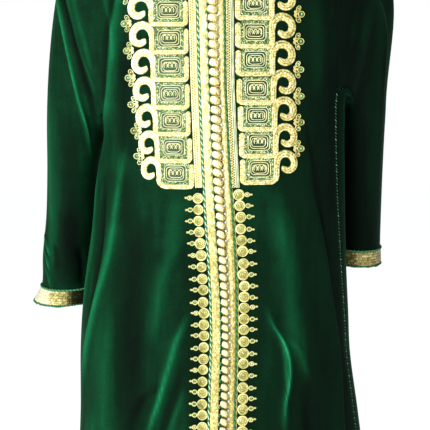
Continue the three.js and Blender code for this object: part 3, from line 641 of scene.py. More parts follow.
def make_mesh(name, points, faces, values, attribute, material, nodes, smooth_angle):
    """One object of four-cornered faces that rides on the body, with an attribute on its points."""
    mesh = bpy.data.meshes.new(name)
    mesh.vertices.add(len(points))
    mesh.vertices.foreach_set("co", (points * MM).astype(np.float32).reshape(-1))
    mesh.loops.add(faces.size)
    mesh.loops.foreach_set("vertex_index", faces.astype(np.int32).reshape(-1))
    mesh.polygons.add(len(faces))
    mesh.polygons.foreach_set("loop_start", np.arange(0, faces.size, 4, dtype=np.int32))
    mesh.update(calc_edges=True)
    mesh.validate()
    mesh.polygons.foreach_set("use_smooth", np.ones(len(mesh.polygons), bool))
    layer = mesh.attributes.new(attribute, "FLOAT", "POINT")
    layer.data.foreach_set("value", values.astype(np.float32))
    mesh.materials.append(material)
    mesh.set_sharp_from_angle(angle=math.radians(smooth_angle))
    piece = put_in_scene(name, mesh)
    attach(piece, "root")
    if nodes:
        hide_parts(*nodes)
    return piece


def grid_faces(rows, columns, ring=False, closed=False):
    """Faces over a grid. A ring joins its last column to its first, and a closed grid its last row."""
    row, column = np.arange(rows if closed else rows - 1), np.arange(columns if ring else columns - 1)
    row, column = np.meshgrid(row, column, indexing="ij")
    above, below, following = row * columns, (row + 1) % rows * columns, (column + 1) % columns
    corners = [above + column, below + column, below + following, above + following]
    return np.stack(corners, -1).reshape(-1, 4)


def tube_faces(stations, sides, closed):
    return grid_faces(stations, sides, True, closed)[:, [0, 3, 2, 1]]


def border(rows, columns, ring=False):
    """The points round a grid's edge, in order; a ring has its first and its last row."""
    index = np.arange(rows * columns).reshape(rows, columns)
    if ring:
        return [np.append(index[0], index[0, 0])[::-1], np.append(index[-1], index[-1, 0])]
    return [np.concatenate([index[0, ::-1], index[1:, 0], index[-1, 1:], index[-2:0:-1, -1], index[0, -1:]])]


def shell(points, normals, ring=False):
    """A wall of cloth behind a grid."""
    rows, columns = points.shape[:2]
    count = rows * columns
    both = np.concatenate([points.reshape(-1, 3), (points - normals * CLOTH).reshape(-1, 3)])
    outer = grid_faces(rows, columns, ring)
    faces = [outer, outer[:, ::-1] + count]
    for loop in border(rows, columns, ring):
        start, end = loop[:-1], loop[1:]
        faces.append(np.stack([start + count, end + count, end, start], -1))
    faces = np.concatenate(faces)
    corners = both[outer]
    facing = np.cross(corners[:, 2] - corners[:, 0], corners[:, 3] - corners[:, 1])
    if np.sum(facing * normals.reshape(-1, 3)[outer[:, 0]]) < 0:
        faces = faces[:, ::-1]
    return both, faces


def cloth_piece(name, points, normals, tone_and_painted_light, ring=False):
    """One piece of velvet. Its pile carries the painted light and shade of its folds, and painted shade on
    the side away from the light. Inside, a weaker share of the folds' painted light lies on a plain tone.
    """
    both, faces = shell(points, normals, ring)
    shade = ramp((points[..., 0].reshape(-1) - SHADED_SIDE["from"]) / SHADED_SIDE["over"])
    pile_with_painted_light = tone_and_painted_light.reshape(-1) + BASE_NAP - SHADED_SIDE["darker"] * shade
    tone = np.concatenate([pile_with_painted_light, tone_and_painted_light.reshape(-1) * 0.3 + 0.25])
    return make_mesh("velvet_" + name, both, faces, tone, "tone_and_painted_light", VELVET, [name], 50)


# ---- the cloth ----
FRONTS = {side: front_panel(side) for side in SIDES}
BACK = back_panel()


def armhole(side):
    """Points, normals and the folds' painted light and shade round the armhole, from the shoulder down the
    front and up the back.
    """
    low = underarm_row(side)
    column = 0 if side == "right" else -1
    rings = [np.concatenate([front[:low + 1, -1], back[low - 1:0:-1, column]])
             for front, back in zip(FRONTS[side], BACK)]
    rings[0][0, 1] = 0
    return (*rings, low)


CAP_ROWS = 43
CAP_FADE = 10.0               # rows in which a sleeve's folds and their painted light and shade take over from the body's


def sleeve_grid(side):
    """A sleeve from the armhole to the wrist: a cap of curves, then rings."""
    spec, sign = SLEEVES[side], SIDES[side]
    rings = spec["rings"]
    loop, facing, tones, low = armhole(side)
    lengths = lengths_along(loop, True)
    rising = mix(spec["underarm"], 1, (lengths[:-1] - lengths[low]) / (lengths[-1] - lengths[low]))
    around = np.where(np.arange(len(loop)) <= low, spec["underarm"] * lengths[:-1] / lengths[low], rising)
    turn = 2 * np.pi * around

    def ring(z):
        x, y, across, deep = (smooth_read(rings["z"], rings[key], z) for key in ("x", "y", "across", "deep"))
        return np.stack([x + sign * across * np.cos(turn), y - deep * np.sin(turn), z + 0 * turn], -1)

    leave = unit(np.cross(heading(loop, True), facing)) * -sign
    under = np.maximum(leave[:, 2:], 0)
    fall = spec["droop"] * (1 - np.maximum(facing[:, 2:], 0)) ** 2 * (1 - 0.6 * under)
    tangent = leave + facing * 2.5 * under
    tangent = unit(tangent - np.array([0, 0, 1]) * (fall + 0.8 * under))
    end = ring(rings["z"][0])
    far = np.linalg.norm(end - loop, axis=1, keepdims=True)
    first = loop + tangent * mix(spec["spread"], 0.4, under) * far
    second = end + np.array([0, 0, 1]) * 0.4 * far
    cap = [(1 - t) ** 3 * loop + 3 * (1 - t) ** 2 * t * first + 3 * (1 - t) * t * t * second + t ** 3 * end
           for t in np.arange(CAP_ROWS) / CAP_ROWS]
    levels = stepped([rings["z"][0], *spec["cuff"], rings["z"][-1]])
    points = np.array(cap + [ring(z) for z in levels])
    normals = outward(points, grid_normals(points, True))
    keep = ramp(np.arange(len(points)) / CAP_FADE)[:, None]
    points, tone_and_painted_light = raise_folds(points, normals, SLEEVE_FOLDS[side], keep)
    tone_and_painted_light = tone_and_painted_light * keep + tones * (1 - keep)
    return points, outward(points, grid_normals(points, True)), tone_and_painted_light, levels


def raise_folds(points, normals, folds, keep):
    """Folds of a sleeve, and the painted light and shade they add. They follow paths seen from the front, and
    similar ones lie behind.
    """
    height = np.zeros(points.shape[:2])
    tone_and_painted_light = np.zeros_like(height)
    x, _, z = np.moveaxis(points, -1, 0)
    facing = np.abs(normals[..., 1])
    for fold in folds:
        away = (x - fold_line(fold, z)) / np.maximum(facing, 0.3)
        above = ramp(1 - (z - fold[PATH][0][1]) / 60)
        strength = fold_strength(fold, away, z) * ramp(facing / 0.25) * above
        height += fold[HIGH] * strength
        tone_and_painted_light += fold[PAINTED_LIGHT] * strength
    return points + normals * (height * keep)[..., None], tone_and_painted_light


CLOTHS = {"front_" + side: cloth_piece("front_" + side, *FRONTS[side]) for side in SIDES}
CLOTHS["back"] = cloth_piece("back", *BACK)
SLEEVE_GRIDS = {side: sleeve_grid(side) for side in SIDES}
for side in SIDES:
    CLOTHS["sleeve_" + side] = cloth_piece("sleeve_" + side, *SLEEVE_GRIDS[side][:3], True)


# ---- laying trim on the front ----
MAP = {"x": (-170, 171), "z": (-1010, -59), "step": 2.0, "tries": 5}


class FrontMap:
    """Where the front's cloth lies: its y and its normal for x and z as seen from the front."""

    def __init__(self):
        self.x, self.z = (np.arange(*MAP[axis], MAP["step"]) for axis in "xz")
        x, z = np.meshgrid(self.x, self.z, indexing="ij")
        lift = np.clip((z - CHEST_Z) / shoulder_rise(x), 0, 0.98)
        start_x = x / (1 - SHOULDER_LEAN * lift)
        level = np.clip(z, HEM_Z, CHEST_Z)
        angle = np.arcsin(np.clip(start_x / half_width(x, level), -1, 1))
        for _ in range(MAP["tries"]):
            found, _ = body_points(angle, level)
            miss = (start_x - found[..., 0]) / half_sizes(angle, level)[0]
            angle = np.arcsin(np.clip(np.sin(angle) + miss, -1, 1))
        self.y = body_points(angle, level)[0][..., 1] * np.sqrt(1 - lift ** 2)
        slope_x, slope_z = np.gradient(self.y, MAP["step"])
        self.normal = unit(np.stack([slope_x, -1 + 0 * slope_x, slope_z], -1))

    def read(self, table, x, z):
        row, column = (np.clip((value - line[0]) / MAP["step"], 0, len(line) - 1.001)
                       for value, line in ((x, self.x), (z, self.z)))
        return blend(table, row, column)

    def lay(self, flat):
        """Takes (x, z, height above the cloth) to the row frame."""
        x, z, height = np.asarray(flat, float).T
        base = np.stack([x, self.read(self.y, x, z), z], -1)
        return base + unit(self.read(self.normal, x, z)) * height[:, None]


FRONT = FrontMap()


def raised(flat, height):
    """Flat points (x, z) as (x, z, height)."""
    return np.concatenate([flat, np.full((len(flat), 1), height)], 1)


def resample(path, step, closed=False):
    """Points at even steps along a path, and how far along it they lie."""
    path = np.asarray(path, float)
    if closed:
        path = np.concatenate([path, path[:1]])
    lengths = lengths_along(path)
    places = np.linspace(0, lengths[-1], max(int(round(lengths[-1] / step)), 3) + 1)
    if closed:
        places = places[:-1]
    return np.stack([np.interp(places, lengths, values) for values in path.T], -1), places


def side_ways(path, closed=False):
    """Unit vectors across a flat path."""
    along = heading(path, closed)
    return np.stack([along[:, 1], -along[:, 0]], -1)


# Plain cords: how high above the cloth their middle lies, and their half width and half height.
CORDS = {
    "button_gap": (3.4, 0.9, 0.5), "button_loop": (3.2, 0.9, 0.9), "under_knot_shadow": (3.2, 0.9, 0.6),
    "row_gap_shade": (0.8, 5.0, 0.6), "field": (1.4, 0.6, 0.9), "lobe": (1.7, 0.66, 1.0),
    "lobe_shadow_cord": (1.6, 0.75, 0.5), "leaf": (1.5, 0.75, 1.0), "stem": (1.3, 2.1, 1.2),
    "spike_ring": (1.2, 1.0, 1.2), "spike_knot": (1.1, 0.85, 1.0), "spike_line": (0.7, 0.6, 0.7),
}


def lay_cord(heap, path, height, wide, high, value, sides=6, closed=False):
    """A plain cord along a flat path. height is its middle, wide and high its half sizes."""
    path = np.asarray(path, float)
    count, turn = len(path), circle(sides)
    wide, high, height, value = (np.broadcast_to(each, (count,)) for each in (wide, high, height, value))
    if not closed:
        ends = np.ones(count)
        ends[0] = ends[-1] = 0.35
        wide, high = wide * ends, high * ends
    flat = path[:, None] + side_ways(path, closed)[:, None] * (np.sin(turn)[:, None] * wide[:, None, None])
    up = height[:, None] + np.cos(turn) * high[:, None]
    points = np.concatenate([flat, up[..., None]], -1)
    heap.add(points, tube_faces(count, sides, closed), np.repeat(value, sides))


RIBBON_BASE = 0.1             # height of a ribbon's edges above the cloth


def lay_ribbon(heap, path, columns, wide_at, height_at, value_at, step):
    """A flat braid along a path. wide_at takes a share of its length, and height_at and value_at take the
    place along it and across it (-1 to 1)."""
    path, places = resample(path, step)
    shares = np.linspace(-1, 1, columns)
    wide = wide_at(places / places[-1])
    along, share = np.meshgrid(places, shares, indexing="ij")
    height = height_at(along, share)
    flat = path[:, None] + side_ways(path)[:, None] * (shares[:, None] * wide[:, None, None])
    points = np.pad(np.concatenate([flat, height[..., None]], -1), ((1, 1), (1, 1), (0, 0)), "edge")
    points[[0, -1], :, 2] = points[:, [0, -1], 2] = RIBBON_BASE
    value = np.pad(value_at(along, share), 1, "edge")
    value[:, [0, -1]] *= 0.6
    heap.add(points, grid_faces(*value.shape), value.reshape(-1))


def ball(rows, columns):
    """A unit ball as points and faces, with its pole along the third axis."""
    polar, turn = np.meshgrid(np.linspace(0, np.pi, rows + 1), circle(columns), indexing="ij")
    points = np.stack([np.sin(polar) * np.cos(turn), np.sin(polar) * np.sin(turn), np.cos(polar)], -1)
    return points.reshape(-1, 3), grid_faces(rows + 1, columns, True)[:, ::-1]


BALL = ball(5, 8)
BEAD = ball(4, 6)


def lay_balls(heap, centres, sizes, values, form=BEAD):
    """Balls at (x, z, height), with half sizes along x, z and height."""
    points, faces = form
    count = len(centres)
    places = points * np.broadcast_to(sizes, (count, 3))[:, None] + np.asarray(centres, float)[:, None]
    faces = (faces + np.arange(count)[:, None, None] * len(points)).reshape(-1, 4)
    heap.add(places, faces, np.repeat(np.broadcast_to(values, (count,)), len(points)))


def finish_heap(name, heap, material, nodes=(), place=FRONT.lay, attribute="shade"):
    points, faces, values = (np.concatenate(parts) for parts in (heap.points, heap.faces, heap.values))
    points = place(points) if place else points
    make_mesh(name, points, faces, values, attribute, material, nodes, 60)


# ---- braids and cords down the centre front ----
TRIM_TOP = -94
TRIM_END = HEM_Z + 4
PLASTRON_END = -422

# Two cords edge the band: how far they lie from the centre front. The row of buttons lies between them.
CORD_LINES = {
    "z": [-90, -171, -259, -348, -408, -461, -545, -637, -747, -1000],
    "left": [-23.5, -23.8, -24.8, -24.8, -24.5, -24.0, -22.3, -21.2, -22.7, -22.7],
    "right": [17.2, 16.9, 14.3, 15.0, 16.0, 17.7, 19.0, 18.3, 17.5, 17.5],
    "buttons": [-0.8, -1.2, -2.2, -2.2, -2.4, -1.2, -0.6, 1.1, 0.8, 0.8],
    "button_half": [7.4, 7.4, 7.3, 7.4, 7.4, 6.8, 6.2, 5.8, 5.8, 5.8],
}


def band_read(column, z):
    return smooth_read(CORD_LINES["z"], CORD_LINES[column], z)


def edge_at(edge, z):
    """A braid's edge, (line, plus): so far from a cord's line, or with no line from the centre front."""
    line, plus = edge
    return centre_front(z) + plus + (band_read(line, z) if line else 0)


def edge_path(edge, z):
    return np.stack([edge_at(edge, z), z], -1)


def ribs(share, count):
    return np.abs(np.cos(share * np.pi * count / 2))


def plait(along, share, pitch, slant):
    return 0.5 + 0.5 * np.cos(2 * np.pi * (along / pitch + np.abs(share) * slant))


def streaks(along, share, count, length):
    """Uneven tones that run along each rib of a braid."""
    rib = np.clip(((share + 1) / 2 * count).astype(int), 0, count - 1)
    steps = int(along.max() / length) + 2
    tones = rng.random((count, steps + 1))
    place = along / length
    low = np.clip(place.astype(int), 0, steps - 1)
    return mix(tones[rib, low], tones[rib, low + 1], place - low)


def add_braid(name, start, end, low, node, material, columns, height, value, step):
    """A flat braid between two edges, down to a level."""
    z = np.arange(TRIM_TOP, low - 0.1, -3.0)
    left, right = edge_at(start, z), edge_at(end, z)

    def wide(share):
        return np.interp(share, np.linspace(0, 1, len(z)), (right - left) / 2)

    heap = Heap()
    lay_ribbon(heap, np.stack([(left + right) / 2, z], -1), columns, wide, height, value, step)
    finish_heap(name, heap, material, [node])


def weave(along, share):
    return plait(along, share * 6 % 2 - 1, 2.6, 0.5)


def wide_height(along, share):
    bulge = 1.5 * np.sqrt(np.maximum(1 - share ** 2 * 0.8, 0))
    return bulge + 0.45 * ribs(share, 6) + 0.25 * weave(along, share)


def wide_value(along, share):
    """Blotched by the light, and a little darker below the plastron."""
    blotches = 0.2 * streaks(along, share, 3, 5.0) + 0.5 * streaks(along, share, 6, 2.2)
    woven = 0.32 * ribs(share, 6) + 0.14 * weave(along, share)
    return woven + blotches + 0.06 - 0.14 * ramp((along - 330) / 120)


def shaded_value(along, share):
    """The right braid: painted shadow of the buttons darkens its side beside them."""
    return wide_value(along, share) + 0.05 - 0.2 * (1 - ramp((share + 1) / 1.1))


EYE_PITCH = 3.9


def dotted(along, share, wide=4.0):
    """Two columns of small eyes between the strands of a plaited braid, one half a step below the other."""
    eyes = 0
    for side, phase in ((-1, 0.0), (1, 0.5)):
        away = (along / EYE_PITCH + phase + 0.5) % 1 - 0.5
        eyes = eyes + np.exp(-(away * EYE_PITCH / 1.25) ** 2 - ((share - side * 0.4) * wide) ** 2)
    return eyes


def eyes_height(along, share):
    return 1.1 + 0.35 * np.sqrt(np.maximum(1 - share ** 2, 0)) - 0.9 * dotted(along, share)


def left_eyes_value(along, share):
    """The left one has two fine cords along its outer side, with dark lines between."""
    lines = np.exp(-((share + 0.92) / 0.1) ** 2) + np.exp(-((share + 0.44) / 0.08) ** 2)
    cord = 0.9 - 0.75 * lines - 0.25 * streaks(along, share, 8, 5.0)
    eyes = 0.96 - 0.85 * dotted(along, (share - 0.3) / 0.7) - 0.2 * streaks(along, share, 5, 3.0)
    return np.where(share < -0.4, cord, eyes)


def right_eyes_value(along, share):
    return 1.0 - 1.8 * dotted(along, share, wide=3.1)


def columns_height(along, share):
    return 1.0 + 0.5 * ribs(share, 2)


def columns_value(along, share):
    return 0.12 + 0.72 * ribs(share, 2) + 0.4 * (streaks(along, share, 4, 7.0) - 0.5)


EDGE_CORD = {"height": 1.6, "radius": 1.7, "pitch": 9.4, "steps": 9, "off_middle": 0.48}


def add_edge_cord(side, material, strands):
    """Strands twisted round each other, with a (value, share of the cord's radius) for each strand."""
    z = np.arange(TRIM_TOP, TRIM_END, -5.0)
    path = edge_path((side, 0), z)
    path[:, 0] += rng.normal(0, 0.22, len(z))
    path, places = resample(path, EDGE_CORD["pitch"] / EDGE_CORD["steps"])
    heap, radius = Heap(), EDGE_CORD["radius"]
    for k, (value, thick) in enumerate(strands):
        phase = 2 * np.pi * (places / EDGE_CORD["pitch"] + k / len(strands))
        centre = path + side_ways(path) * (np.cos(phase) * radius * EDGE_CORD["off_middle"])[:, None]
        height = EDGE_CORD["height"] + np.sin(phase) * radius * EDGE_CORD["off_middle"]
        lay_cord(heap, centre, height, thick * radius, thick * radius, value, 5)
    finish_heap("edge_cord_" + side, heap, material, ["cord_" + side])


add_braid("wide_braid_left", ("left", 2.0), ("left", 14.2), TRIM_END, "braid_left", GOLD,
          21, wide_height, wide_value, 0.8)
add_braid("wide_braid_right", (None, 5.4), ("right", -2.0), TRIM_END, "braid_right", GOLD,
          21, wide_height, shaded_value, 0.8)
add_braid("eyed_braid_left", ("left", -13.0), ("left", -1.8), PLASTRON_END, "chevron_left", PALE_GOLD,
          21, eyes_height, left_eyes_value, 0.6)
add_braid("eyed_braid_right", ("right", 2.0), ("right", 8.2), PLASTRON_END, "chevron_right", PALE_GOLD,
          17, eyes_height, right_eyes_value, 0.6)
add_braid("fine_columns", ("right", 8.4), ("right", 13.0), PLASTRON_END, "smooth_braid_right", PALE,
          17, columns_height, columns_value, 1.5)
add_edge_cord("left", GREEN, ((0.42, 0.72), (0.95, 0.46)))
add_edge_cord("right", LEAF_GREEN, ((0.26, 0.76), (0.7, 0.36)))

# ---- buttons ----
BUTTON = {"from": -98, "half_deep": 4.0, "mean_pitch": 13.3, "rows": 16, "columns": 18}
# Down the row: the knots' pitch, size and slant, and their painted light: where each knot's painted shade
# starts along it, how much darker its shaded right end is painted, how bright its lit left end is painted,
# and the tone of the cord painted as the shadow in the gap below it.
BUTTON_ROW = {
    "z": [-90, -170, -255, -365, -430, -498, -629, -735, -1000],
    "pitch": [12.8, 12.8, 14, 13.4, 13.3, 13.3, 12.9, 13.5, 13.4],
    "half_high": [6.1, 6.1, 6.3, 5.9, 5.8, 5.6, 5.3, 5.4, 5.4],
    "slope": [0.16, 0.18, 0.24, 0.32, 0.36, 0.4, 0.36, 0.36, 0.36],
    "shade_from": [-0.3, -0.3, -0.3, -0.2, -0.1, 0.1, 0.15, 0.1, 0.1],
    "shade_depth": [0.34, 0.34, 0.34, 0.38, 0.44, 0.5, 0.5, 0.42, 0.42],
    "bright": [0.94, 0.94, 0.94, 0.92, 0.9, 0.86, 0.82, 0.8, 0.8],
    "gap": [0.5, 0.5, 0.48, 0.4, 0.3, 0.16, 0.12, 0.12, 0.12],
}


def button_read(column, z):
    return float(smooth_read(BUTTON_ROW["z"], BUTTON_ROW[column], z))


def button_levels():
    """The middle of each button. They are sewn on a little unevenly, so their pitch changes down the row."""
    levels, z = [], BUTTON["from"]
    while z > TRIM_END + 14:
        pitch = button_read("pitch", z - BUTTON["mean_pitch"] / 2)
        levels.append(z - pitch / 2)
        z -= pitch
    return levels


def button_knot(centre, half_long, half_high, slope, jitter, z):
    """A knot of wound cord with painted light: pale where lit on the left, darker, more golden and rougher
    towards the shaded right, a painted shadow at its lower left rim, a little lighter on top, and lighter
    along the ridges of its winding.
    """
    along, turn = np.linspace(0, np.pi, BUTTON["rows"] + 1), circle(BUTTON["columns"])
    along, turn = np.meshgrid(along, turn, indexing="ij")
    reach = -np.cos(along)
    around = np.sign(np.sin(turn)) * np.abs(np.sin(turn)) ** 0.85
    winding = 1 + 0.04 * np.cos(13 * reach + turn + jitter[3])
    girth = np.sin(along) ** 0.48 * winding
    u, v = reach * half_long, girth * around * half_high
    w = (girth * np.cos(turn) + 1) * BUTTON["half_deep"] + 0.2
    # Painted shade: the knot is painted darker and more golden from here towards its right end.
    shaded_right = ramp((reach - button_read("shade_from", z)) / 0.8)
    shade = button_read("bright", z) - button_read("shade_depth", z) * shaded_right + 2.0 * (winding - 1)
    # A painted shadow along the lower rim, mostly at the left, and a little painted light on top; then random
    # grain.
    shade = shade - 0.6 * ramp(-around * 1.7 - 0.75) * (1 - 0.8 * shaded_right)
    shade = shade + 0.05 * around + rng.normal(0, 0.07, shade.shape) * (1 + 1.8 * shaded_right)
    points = np.stack([centre[0] + u + 0.12 * v, centre[1] + v - slope * u, w], -1)
    return points, grid_faces(*shade.shape, True)[:, ::-1], shade.reshape(-1)


def add_buttons():
    """Knot buttons of wound cord, pulled down to the right, with loops and small silver beads."""
    knots, loops, beads = Heap(), Heap(), Heap()
    bow = np.linspace(-0.2 * np.pi, 0.9 * np.pi, 8)
    for k, z in enumerate(button_levels()):
        jitter = rng.normal(0, 1, 4)
        half_long = float(band_read("button_half", z))
        half_high = button_read("half_high", z) + 0.12 * jitter[0]
        slope = button_read("slope", z) + 0.04 * jitter[0]
        centre = np.array([float(edge_at(("buttons", 0), z)) + 0.3 * jitter[1], z + 0.25 * jitter[2]])
        knots.add(*button_knot(centre, half_long, half_high, slope, jitter, z))
        drop = slope * half_long
        # A cord painted as the shadow in the gap below the knot, dark in the lower part of the row.
        gap = centre + np.array([(-half_long * 0.1, -6.2), (half_long + 2.6, -6.4 - drop)])
        lay_cord(knots, resample(gap, 3.0)[0], *CORDS["button_gap"], button_read("gap", z), 5)
        left = centre + np.array([-half_long - 0.5, drop - 5.6])
        loop = left + oval(bow, 2.7, -2.1)[:, ::-1]
        lay_cord(loops, loop, *CORDS["button_loop"], 0.52 + 0.18 * (k % 2), 5)
        # A dark green cord painted as the shadow under the knot's left end.
        under = left + np.array([(-0.2, -1.0), (half_long * 0.85, -2.0)])
        lay_cord(loops, resample(under, 2.0)[0], *CORDS["under_knot_shadow"], 0.08, 5)
        if rng.random() < (0.75 if z < -360 else 0.35):
            right = centre + np.array([half_long + 0.6, -6.0 - drop + 0.6 * jitter[1]])
            radius = 1.5 + 0.5 * rng.random()
            lay_balls(beads, [(*right, 4.4)], (radius, radius, 1.5), 0.6 + 0.2 * jitter[3], BALL)
    z = np.arange(TRIM_TOP, TRIM_END, -3.0)
    # A dark green strip under the whole row, painted as the shade in the gaps between the knots.
    lay_cord(loops, edge_path(("buttons", 0), z), *CORDS["row_gap_shade"], 0.05)
    finish_heap("knot_buttons", knots, BUTTON_SILK, ["button_row"])
    finish_heap("button_loops", loops, GREEN)
    finish_heap("button_beads", beads, SILVER)


add_buttons()

# ---- plastron ----
# Eight tablets on each side, each with a scroll on its outer side. The scrolls get narrower, flatter
# and higher on their tablets from one to the next one down.
TABLET_COUNT = 8
# Each side's painted side light makes its scrolls and buds paler on the lit left side and darker on the
# right.
PLASTRON = {
    "left": {
        "z": [-114.9, -156.4, -198.1, -239.1, -280.3, -320.7, -361.1, -400.1],
        "from_centre": [66.2, 66.0, 66.8, 67.6, 67.9, 68.3, 67.6, 66.4],
        "outer": [27.4, 27.3, 26.9, 25.7, 26.2, 25.0, 24.6, 25.0], "inner": -24.5, "low": -20.0,
        "outer_half": 4.3, "inner_half": 3.9, "low_half": 3.8, "scroll_up": 4.0, "scroll_rise": 0.15,
        "narrower": 0.037, "bud_reach": 45.6, "bud_narrower": 0.037, "bud_up": 0.0, "painted_side_light": 0.17,
    },
    "right": {
        "z": [-105.2, -146.8, -188.9, -230.0, -272.5, -312.8, -352.8, -393.0],
        "from_centre": [63, 62.4, 61.3, 60.1, 60.2, 60.6, 61, 61],
        "outer": [25.4] * TABLET_COUNT, "inner": -25.5, "low": -20.3,
        "outer_half": 4.7, "inner_half": 4.6, "low_half": 3.9, "scroll_up": 7.8, "scroll_rise": 0.0,
        "narrower": 0.02, "bud_reach": 47.5, "bud_narrower": 0.032, "bud_up": 4.9, "painted_side_light": -0.06,
    },
}
# A scroll runs between its far and near radii, which shrink from where it curls in. Its turns are in degrees.
SCROLL = {"from_bar": 16, "from": 22, "curls_from": 190, "to": 322, "flatter": 0.015, "tall": 1.04,
          "far": (22.0, 11.4), "near": (9.8, 2.6)}


def scroll_radii(degrees):
    curl = ramp((degrees - SCROLL["curls_from"]) / (SCROLL["to"] - SCROLL["curls_from"]))
    return mix(*SCROLL["far"], curl), mix(*SCROLL["near"], curl)


INNER_BEND = 4.5
ARC = np.linspace(0, np.pi / 2, 7)


def thick_cord_path(column, number):
    """A tablet's couched cord: from the scroll down the outer side, along the bottom, up the inner side."""
    degrees = np.linspace(SCROLL["to"], SCROLL["from"], 46)
    far, near = scroll_radii(degrees)
    turn = np.radians(degrees)
    middle, half = (far + near) / 2, (far - near) / 2
    narrow = 1 - column["narrower"] * number
    tall = SCROLL["tall"] - SCROLL["flatter"] * number
    out, back, low = column["outer"][number], column["inner"], column["low"]
    up = column["scroll_up"] + column["scroll_rise"] * number
    curl = (out + narrow * SCROLL["from_bar"], up) + oval(turn, -narrow * middle, tall * middle)
    bend = 10.0 if number == TABLET_COUNT - 1 else 5.0
    outer_corner = (out - bend, low + bend) + oval(ARC, bend, -bend)
    inner_corner = (back + INNER_BEND, low + INNER_BEND) - oval(ARC, INNER_BEND, INNER_BEND)[:, ::-1]
    path = np.concatenate([curl, [(out, 3)], outer_corner, inner_corner, [(back, 4), (back, 14.5)]])
    lengths = lengths_along(path)
    slim = np.hypot(narrow * np.cos(turn), tall * np.sin(turn))
    rest = [column["outer_half"]] * 4 + [column["low_half"]] * 8
    rest += [column["inner_half"]] * (len(path) - len(curl) - len(rest))
    halves = np.concatenate([half * slim, rest])

    def wide(share):
        start = np.sqrt(np.clip(share * lengths[-1] / 4.4, 0.04, 1))
        finish = np.sqrt(np.clip((1 - share) * lengths[-1] / 2.5, 0.1, 1))
        return np.interp(share, lengths / lengths[-1], halves) * start * finish

    return path, wide


def cord_twist(along, share):
    return plait(along, (share * 1.5 + 0.5) % 1.0 * 2 - 1, 3.6, 0.5)


def cord_height(along, share):
    """Three plaited rows side by side."""
    lobes = np.abs(np.cos(share * np.pi * 1.5)) ** 0.7
    edge = np.sqrt(np.maximum(1 - share ** 2, 0)) ** 0.7
    return 0.6 + 1.9 * edge + 0.5 * lobes + 0.5 * cord_twist(along, share) * edge


def cord_value(along, share):
    """Pale plaited rows with thin golden lines between them and small darker flecks."""
    lobes = np.minimum(np.abs(np.cos(share * np.pi * 1.5)) * 1.9, 1)
    flecks = streaks(along, share, 6, 1.7) - 0.5
    flecks = 0.9 * flecks * np.abs(flecks) ** 0.2
    return 0.45 + 0.14 * lobes + 0.22 * cord_twist(along, share) * lobes + flecks


def scroll_tone(along, share, painted_side_light):
    """Painted light by side, in the scrolls only: the left scrolls are painted paler than the bars, the right
    ones darker and more golden. Each inner row is more golden.
    """
    in_scroll = 1 - ramp((along - 60) / 40)
    return in_scroll * (painted_side_light - 0.2 * np.exp(-((share - 0.42) / 0.14) ** 2))


def rounded_box(half, bend, count=10):
    arc = np.linspace(0, np.pi / 2, count // 2)
    bends = (half - bend) * np.array([(1, 1), (-1, 1), (-1, -1), (1, -1)])
    return np.concatenate([middle + oval(arc + k * np.pi / 2, bend, bend) for k, middle in enumerate(bends)])


def box_beads(half, phase):
    path, _ = resample(rounded_box(half, 1.5), FIELD["bead_spacing"], True)
    return path + (np.roll(path, -1, 0) - path) * phase


# What fills a tablet inside its couched cord. Rows of beads lie so far inside its edge, and so do fine cords,
# given with their values. The ground is a grid that reaches a little past the edge.
FIELD = {
    "half_high": 16.7, "middle_up": 0.3, "ground": (9, 7), "ground_past": 1.5,
    "bead_rows": (1.3, 3.4), "bead_spacing": 2.15, "bead": (1.05, 1.05, 0.95),
    "cords": ((4.6, 0.9), (7.5, 1.0), (10.3, 0.95)), "bend": 5.0,
    "lobes": (-6.2, 0, 6.2), "lobe": (2.5, 3.9),
}
LOBE_BOW = np.linspace(-0.36 * np.pi, 1.36 * np.pi, 13)
SCATTER = {"bead": 0.25, "ring": 0.25, "cord": 0.18, "lobes": 0.5}      # how unevenly they are sewn on


def add_field(fine, beads, at, column, number):
    """What fills a tablet: a border of beads, then fine cords one inside the other, and three lobes."""
    start, end = column["inner"] + column["inner_half"], column["outer"][number] - column["outer_half"]
    half, aside = np.array([(end - start) / 2, FIELD["half_high"]]), ((start + end) / 2, FIELD["middle_up"])
    grid = np.stack(np.meshgrid(*(np.linspace(-1, 1, count) for count in FIELD["ground"]), indexing="ij"), -1)
    flat = at(grid.reshape(-1, 2) * (half + FIELD["ground_past"]) + aside)
    fine.add(raised(flat, 0.5), grid_faces(*FIELD["ground"]), -0.08)
    for ring, inset in enumerate(FIELD["bead_rows"]):
        spots = box_beads(half - inset, 0.5 * ring) + aside
        spots = at(spots) + rng.normal(0, SCATTER["bead"], spots.shape)
        lay_balls(beads, raised(spots, 1.2), FIELD["bead"], rng.beta(1.0, 1.15, len(spots)))
    sway = rng.normal(0, SCATTER["lobes"], 2)
    for inset, value in FIELD["cords"]:
        ring = rounded_box(half - inset, FIELD["bend"], 12) + aside + rng.normal(0, SCATTER["ring"], 2)
        ring = at(ring + rng.normal(0, SCATTER["cord"], ring.shape))
        lay_cord(fine, ring, *CORDS["field"], value, closed=True)
    for lobe in FIELD["lobes"]:
        arch = (lobe, 0.6) + oval(LOBE_BOW, *FIELD["lobe"]) + aside + sway
        lay_cord(fine, at(arch), *CORDS["lobe"], 1.0, 5)
        heart = aside + sway + np.array([lobe + 0.3 * rng.normal(), 1.0])
        lay_balls(beads, [(*at(heart), 0.9)], (0.95, 1.5, 0.9), 0.15 + 0.4 * rng.random())
        # A dark cord painted as the shadow below the lobe.
        lobe_shadow = aside + sway + np.array([(lobe - 2.4, -3.7), (lobe + 2.4, -3.7)])
        lay_cord(fine, at(resample(lobe_shadow, 1.5)[0]), *CORDS["lobe_shadow_cord"], -0.9)


# Leaves of a bud: place from the bud's root line (out and up), half length and width, and turn in degrees.
BUD_LEAVES = [(-4.2, 31.0, 4.3, 2.9, 58), (0.0, 22.6, 4.8, 4.3, 0), (-4.6, 14.2, 4.2, 2.9, -58)]


